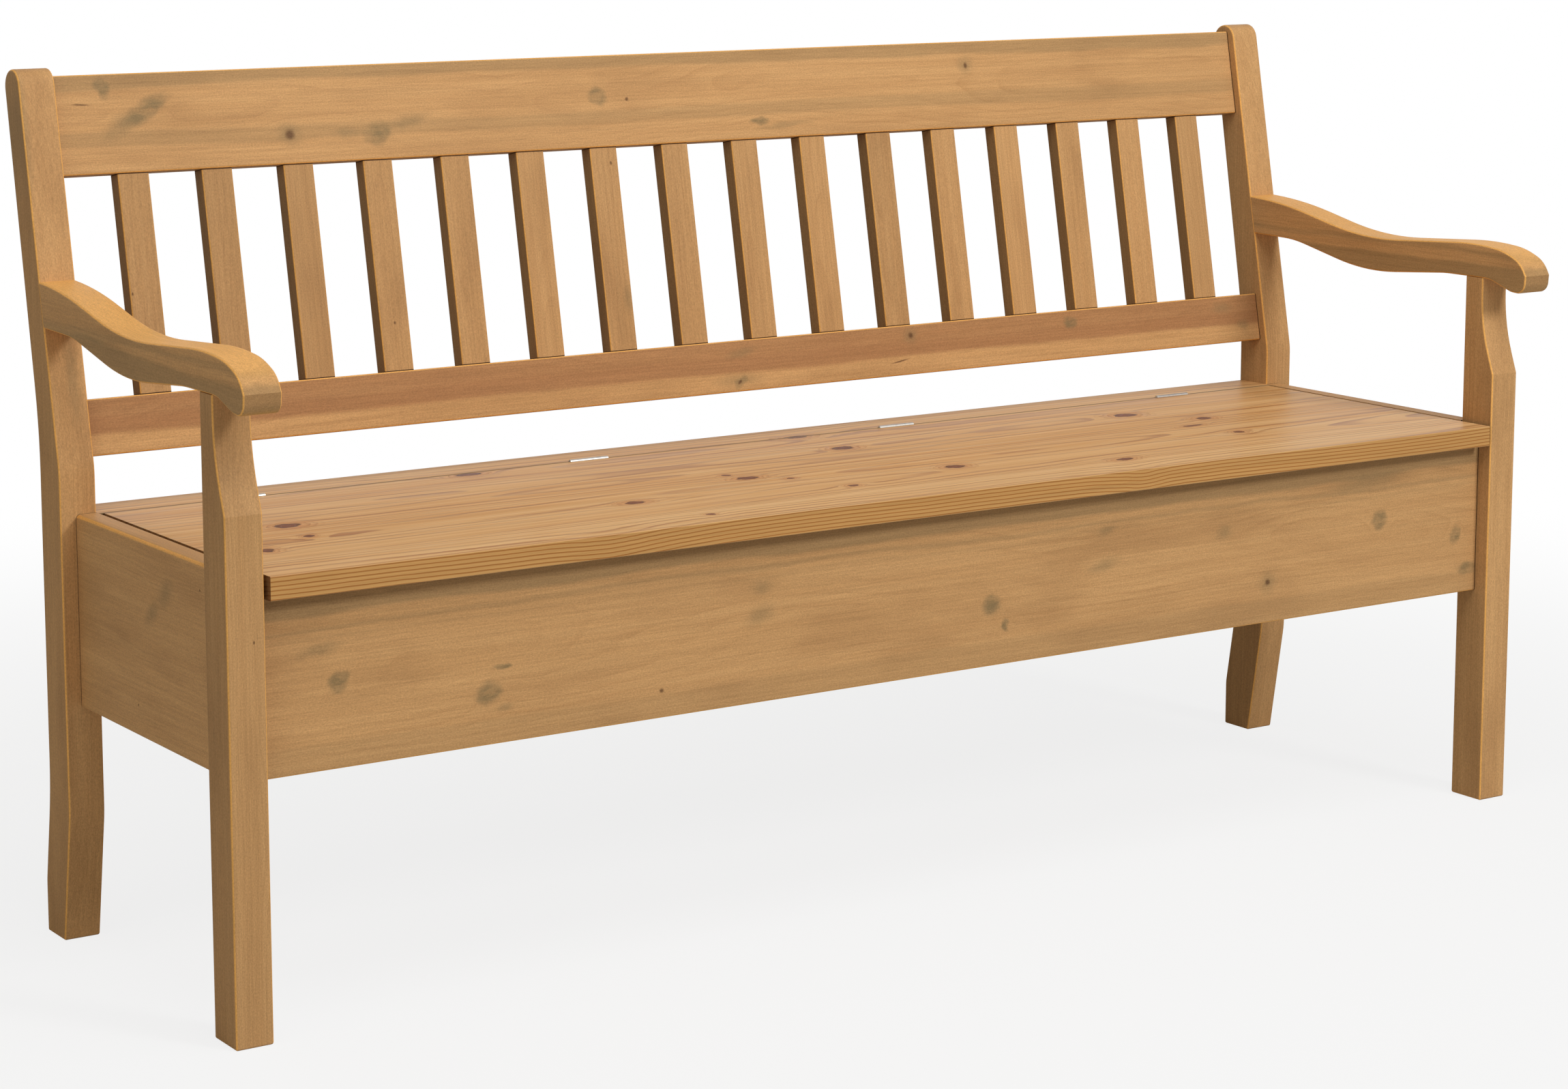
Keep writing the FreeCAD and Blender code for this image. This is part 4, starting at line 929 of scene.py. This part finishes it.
def cross_recess(g, core, head, head_depth):
    size = g.node("ShaderNodeCombineXYZ", inputs={
        "X": head * BAR_LENGTH, "Y": head * BAR_WIDTH, "Z": head_depth * BAR_DEPTH})
    bar = g.node("GeometryNodeMeshCube", inputs={"Size": size})
    bars = [g.node("GeometryNodeTransform", inputs={"Geometry": bar, "Rotation": (0, 0, turn)})
            for turn in (0, math.pi / 2)]
    return g.node("GeometryNodeMeshBoolean", {"operation": "DIFFERENCE", "solver": "EXACT"},
                  {"Mesh 1": core, "Mesh 2": bars})


print("a bar of the recess is", BAR_LENGTH, "head radii long")

# %% [markdown]
# A thread is a ridge that climbs round the shank. A spiral with a small diamond as its section
# gives it, and the number of turns follows from the length and the pitch.

# %% Wind the thread
THREAD_START, THREAD_END = 1.6, 2.2
TURN_POINTS, DIAMOND_SIDES = 14, 4


def screw_thread(g, head_depth, thread, length, pitch):
    root = thread * ROOT_SHARE
    start = head_depth * THREAD_START
    run = length - start - thread * THREAD_END
    spiral = g.node("GeometryNodeCurveSpiral", inputs={
        "Resolution": TURN_POINTS, "Rotations": run / pitch, "Start Radius": root,
        "End Radius": root, "Height": run})
    lift = g.node("ShaderNodeCombineXYZ", inputs={"Z": start})
    spiral = g.node("GeometryNodeTransform", inputs={"Geometry": spiral, "Translation": lift})
    diamond = g.node("GeometryNodeCurvePrimitiveCircle", inputs={
        "Resolution": DIAMOND_SIDES, "Radius": thread - root})
    return g.node("GeometryNodeCurveToMesh", inputs={
        "Curve": spiral, "Profile Curve": diamond, "Fill Caps": True})


print("the thread begins", THREAD_START, "head depths down")

# %% [markdown]
# Every screw in a row has the same shape, but it points its own way and stopped at its own turn.
# Instances are made for that: one screw on each point, turned the point's way and spun by chance.
# At the end they become real faces with their finish on them.

# %% Place a screw on every point
SPIN_FROM, SPIN_TO, SPIN_SEED = 0.0, math.pi, 7
FLOAT_FROM, FLOAT_TO, FLOAT_VALUE = 2, 3, 1


def place_screws(g, places, screw, finish):
    way = g.node("GeometryNodeInputNamedAttribute", {"data_type": "FLOAT_VECTOR"},
                 {"Name": "way"})
    turned = g.node("FunctionNodeAlignRotationToVector", {"axis": "Z"}, {"Vector": way})
    rows = g.node("GeometryNodeInstanceOnPoints", inputs={
        "Points": places, "Instance": screw, "Rotation": turned})
    chance = g.node("FunctionNodeRandomValue", {"data_type": "FLOAT"},
                    {FLOAT_FROM: SPIN_FROM, FLOAT_TO: SPIN_TO, "Seed": SPIN_SEED}, FLOAT_VALUE)
    spin = g.node("ShaderNodeCombineXYZ", inputs={"Z": chance})
    rows = g.node("GeometryNodeRotateInstances", inputs={"Instances": rows, "Rotation": spin})
    rows = g.node("GeometryNodeRealizeInstances", inputs={"Geometry": rows})
    return g.node("GeometryNodeSetMaterial", inputs={"Geometry": rows, "Material": finish})


print("a screw is spun by up to", round(math.degrees(SPIN_TO)), "degrees")

# %% [markdown]
# The tree's sizes are inputs with names, so the same tree serves a hinge screw and a wood screw.

# %% Build the screw tree
SCREW_SIZES = ("Head Radius", "Head Depth", "Thread Radius", "Length", "Pitch")


def build_screw_tree():
    tree = bpy.data.node_groups.new("screw_rows", "GeometryNodeTree")
    tree.interface.new_socket("Places", in_out="INPUT", socket_type="NodeSocketGeometry")
    for name in SCREW_SIZES:
        tree.interface.new_socket(name, in_out="INPUT", socket_type="NodeSocketFloat")
    tree.interface.new_socket("Finish", in_out="INPUT", socket_type="NodeSocketMaterial")
    tree.interface.new_socket("Screws", in_out="OUTPUT", socket_type="NodeSocketGeometry")
    start = tree.nodes.new("NodeGroupInput")
    places, head, head_depth, thread, length, pitch, finish = (
        Wire(tree, socket) for socket in start.outputs if socket.name)
    g = Wire(tree)
    core = screw_core(g, head, head_depth, thread, length)
    screw = g.node("GeometryNodeJoinGeometry", inputs={"Geometry": [
        cross_recess(g, core, head, head_depth),
        screw_thread(g, head_depth, thread, length, pitch)]})
    g.node("NodeGroupOutput", inputs={"Screws": place_screws(g, places, screw, finish)})
    return tree


screw_tree = build_screw_tree()
print("screw tree:", len(screw_tree.nodes), "nodes")

# %% [markdown]
# A row of screws is a mesh of loose points, each with the way its screw points. The modifier's
# result becomes a plain mesh, which stands for the model's plain screws and rides with the same
# body.

# %% Make a row of screws
HINGE_SCREW = {"Head Radius": 2.7 * MM, "Head Depth": 1.6 * MM, "Thread Radius": 1.5 * MM,
               "Length": 16 * MM, "Pitch": 1.3 * MM}
WOOD_SCREW = {"Head Radius": 4 * MM, "Head Depth": 2.4 * MM, "Thread Radius": 2 * MM,
              "Length": 32 * MM, "Pitch": 1.8 * MM}
screw_plate = plated_steel("screw_plate", "batten_screws")


def screws(name, places, ways, sizes, body, stands_for):
    """A row of screws that replaces a node of plain ones."""
    mesh = bpy.data.meshes.new(f"{name}_places")
    mesh.from_pydata(places, [], [])
    way = mesh.attributes.new("way", "FLOAT_VECTOR", "POINT")
    for point, direction in zip(way.data, ways):
        point.vector = direction
    piece = bpy.data.objects.new(name, mesh)
    bpy.context.scene.collection.objects.link(piece)
    modifier = piece.modifiers.new("rows", "NODES")
    modifier.node_group = screw_tree
    given = {**sizes, "Finish": screw_plate}
    for item in screw_tree.interface.items_tree:
        if item.in_out == "INPUT" and item.name in given:
            modifier[item.identifier] = given[item.name]
    graph = bpy.context.evaluated_depsgraph_get()
    made = bpy.data.meshes.new_from_object(piece.evaluated_get(graph))
    piece.modifiers.clear()
    piece.data = made
    bpy.data.meshes.remove(mesh)
    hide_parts(stands_for)
    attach(piece, body)
    print(name, len(places), "screws,", len(made.polygons), "faces")


print("screws of", [round(sizes["Length"] / MM) for sizes in (HINGE_SCREW, WOOD_SCREW)], "mm")

# %% [markdown]
# Each hinge has two screws in the strip and two in the lid. Their places come from the boxes of
# the hinge pins and of the model's own screws, so the heads sit flush in the countersinks.

# %% Screw the hinges on
SCREW_TO_HINGE_MIDDLE = 15 * MM
HINGES = (1, 2, 3, 4)


def middle_x(node):
    low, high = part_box(node)
    return (low.x + high.x) / 2


for name, node, body, way in (("strip_hinge_screws", "hinge_screws_fixed", "bench", Y),
                              ("lid_hinge_screws", "hinge_screws_lid", "lid", -Y)):
    low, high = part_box(node)
    head_face = low.y if way is Y else high.y
    places = [(middle_x(f"hinge_pin_{number}") + side * SCREW_TO_HINGE_MIDDLE, head_face,
               (low.z + high.z) / 2) for number in HINGES for side in (-1, 1)]
    screws(name, places, [way] * len(places), HINGE_SCREW, body, node)

# %% [markdown]
# Three screws come up through each batten into the lid, and five go through each long ledge into
# the apron or the rear panel. The outer ones sit where the model has them, the others evenly
# between.

# %% Screw the battens and ledges on
BATTENS = (1, 2, 3)
BATTEN_ROW, LEDGE_ROW = 3, 5
head = WOOD_SCREW["Head Radius"]


def spread(first, last, count):
    return [first + (last - first) * number / (count - 1) for number in range(count)]


low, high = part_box("batten_screws")
places = [(middle_x(f"lid_batten_{number}"), y, low.z)
          for number in BATTENS for y in spread(low.y + head, high.y - head, BATTEN_ROW)]
screws("lid_batten_screws", places, [Z] * len(places), WOOD_SCREW, "lid", "batten_screws")

low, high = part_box("ledge_screws")
row = spread(low.x + head, high.x - head, LEDGE_ROW)
front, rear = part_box("ledge_front")[1].y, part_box("ledge_rear")[0].y
places = [(x, y, (low.z + high.z) / 2) for y in (front, rear) for x in row]
ways = [-Y] * len(row) + [Y] * len(row)
screws("chest_ledge_screws", places, ways, WOOD_SCREW, "bench", "ledge_screws")

# %% [markdown]
# ## Floor
#
# The picture was taken against white. The floor here is a large pale sheet that the camera sees
# partly as light of its own, more and more with the distance, until it is pure white. Close to
# the bench its own shading stays, and with it the soft shadow.

# %% Lay the floor
FLOOR_SIZE = 40
FLOOR_PALE, FLOOR_GREY = colour(196, 196, 195), colour(188, 188, 187)
FLOOR_GLOW = 0.82
FADE_START, FADE_END = 1.0, 2.6

mesh = bpy.data.meshes.new("floor")
half = FLOOR_SIZE / 2
mesh.from_pydata([(-half, -half, 0), (half, -half, 0), (half, half, 0), (-half, half, 0)],
                 [], [(0, 1, 2, 3)])
floor = bpy.data.objects.new("floor", mesh)
bpy.context.scene.collection.objects.link(floor)
material, tree = new_material("floor_white")
place = tree.node("ShaderNodeTexCoord", output="Object")
grain = tree.node("ShaderNodeTexNoise", inputs={"Vector": place, "Scale": 2.0, "Detail": 2.0})
tone = mix(grain * 0.25, FLOOR_PALE, FLOOR_GREY)
lit = tree.node("ShaderNodeBsdfPrincipled", inputs={"Base Color": tone, "Roughness": 0.9})
bright = tree.node("ShaderNodeEmission", inputs={"Color": (1, 1, 1, 1), "Strength": 1.0})
away = place.vector("LENGTH", output="Value")
glow = FLOOR_GLOW + fade(away, FADE_START, FADE_END) * (1 - FLOOR_GLOW)
seen = tree.node("ShaderNodeLightPath", output="Is Camera Ray")
both = tree.node("ShaderNodeMixShader", inputs={0: seen * glow, 1: lit, 2: bright})
tree.node("ShaderNodeOutputMaterial", inputs={"Surface": both})
mesh.materials.append(material)
print("the floor is pure white from", FADE_END, "m on")

# %% [markdown]
# ## Lamps
#
# Three square lamps light the bench. The one in front, on the right, is the smallest and the
# strongest: it gives the crisp shadow under the lid. The one overhead lights the seat. The one on
# the left is wide, weak and a little warm, because it only opens the shadows on that side.

# %% Hang the lamps
SEAT = (0, 0, 0.5)
WHITE_LIGHT, WARM_LIGHT = (1, 1, 1), (1, 0.95, 0.82)
LAMPS = {"lamp_front": ((1.5, -4.1, 2.9), 1.0, 104, WHITE_LIGHT),
         "lamp_over": ((-0.3, -1.4, 3.6), 2.0, 52, WHITE_LIGHT),
         "lamp_left": ((-3.6, -1.4, 1.9), 2.6, 20, WARM_LIGHT)}
for name, (place, size, power, tint) in LAMPS.items():
    light = bpy.data.lights.new(name, "AREA")
    light.shape = "SQUARE"
    light.size = size
    light.energy = power
    light.color = tint
    towards_seat = Vector(SEAT) - Vector(place)
    lamp = bpy.data.objects.new(name, light)
    lamp.location = place
    lamp.rotation_euler = towards_seat.to_track_quat("-Z", "Y").to_euler()
    bpy.context.scene.collection.objects.link(lamp)
    print(name, round(towards_seat.length, 2), "m away,", power, "W")

# %% [markdown]
# ## World
#
# The room lights the bench only dimly and a little warmly, yet the camera and the reflections in
# the steel see it pure white. Light Path tells the world which kind of ray is asking.

# %% Light the room
FILL_TINT, FILL_STRENGTH = (1, 0.965, 0.885, 1), 0.26

world = bpy.data.worlds.new("studio")
world.use_nodes = True
world.node_tree.nodes.clear()
tree = Wire(world.node_tree)
shown = highest(*(tree.node("ShaderNodeLightPath", output=ray)
                  for ray in ("Is Camera Ray", "Is Glossy Ray", "Is Transmission Ray")))
dim = tree.node("ShaderNodeBackground",
                inputs={"Color": FILL_TINT, "Strength": FILL_STRENGTH})
white = tree.node("ShaderNodeBackground", inputs={"Color": (1, 1, 1, 1), "Strength": 1.0})
both = tree.node("ShaderNodeMixShader", inputs={0: shown, 1: dim, 2: white})
tree.node("ShaderNodeOutputWorld", inputs={"Surface": both})
bpy.context.scene.world = world
print("the room gives", FILL_STRENGTH, "of white light")

# %% [markdown]
# ## Camera
#
# The place, the turn and the lens were found by matching the bench's own corners in the picture
# with those of the model. The lens stands about four metres from the bench and looks down a
# little. Its focal length came out in pixels of the picture, so a rule of three turns it into the
# millimetres that Blender wants.

# %% Place the camera
CAMERA_PLACE = (-2.2463, -3.2543, 1.1460)
CAMERA_YAW, CAMERA_PITCH, CAMERA_ROLL = 33.182, 8.594, -0.100
PICTURE_WIDTH, FOCAL_PIXELS, SENSOR_WIDTH = 2299, 5194.6, 36
SHIFT_RIGHT, SHIFT_UP = 0.03, -0.10

yaw, pitch, roll = map(math.radians, (CAMERA_YAW, CAMERA_PITCH, CAMERA_ROLL))
ahead = Vector((math.sin(yaw) * math.cos(pitch), math.cos(yaw) * math.cos(pitch),
                -math.sin(pitch)))
level = Vector((math.cos(yaw), -math.sin(yaw), 0))
upright = level.cross(ahead)
right = level * math.cos(roll) + upright * math.sin(roll)
up = upright * math.cos(roll) - level * math.sin(roll)
lens = bpy.data.cameras.new("camera")
lens.sensor_width = SENSOR_WIDTH
lens.lens = FOCAL_PIXELS / PICTURE_WIDTH * SENSOR_WIDTH
lens.shift_x = SHIFT_RIGHT
lens.shift_y = SHIFT_UP
camera = bpy.data.objects.new("camera", lens)
camera.matrix_world = (Matrix.Translation(CAMERA_PLACE)
                       @ Matrix((right, up, -ahead)).transposed().to_4x4())
bpy.context.scene.collection.objects.link(camera)
bpy.context.scene.camera = camera
bpy.context.scene.view_settings.view_transform = "Standard"
away = (Vector(CAMERA_PLACE) - Vector(SEAT)).length
print(f"lens of {lens.lens:.0f} mm, {away:.2f} m from the seat")
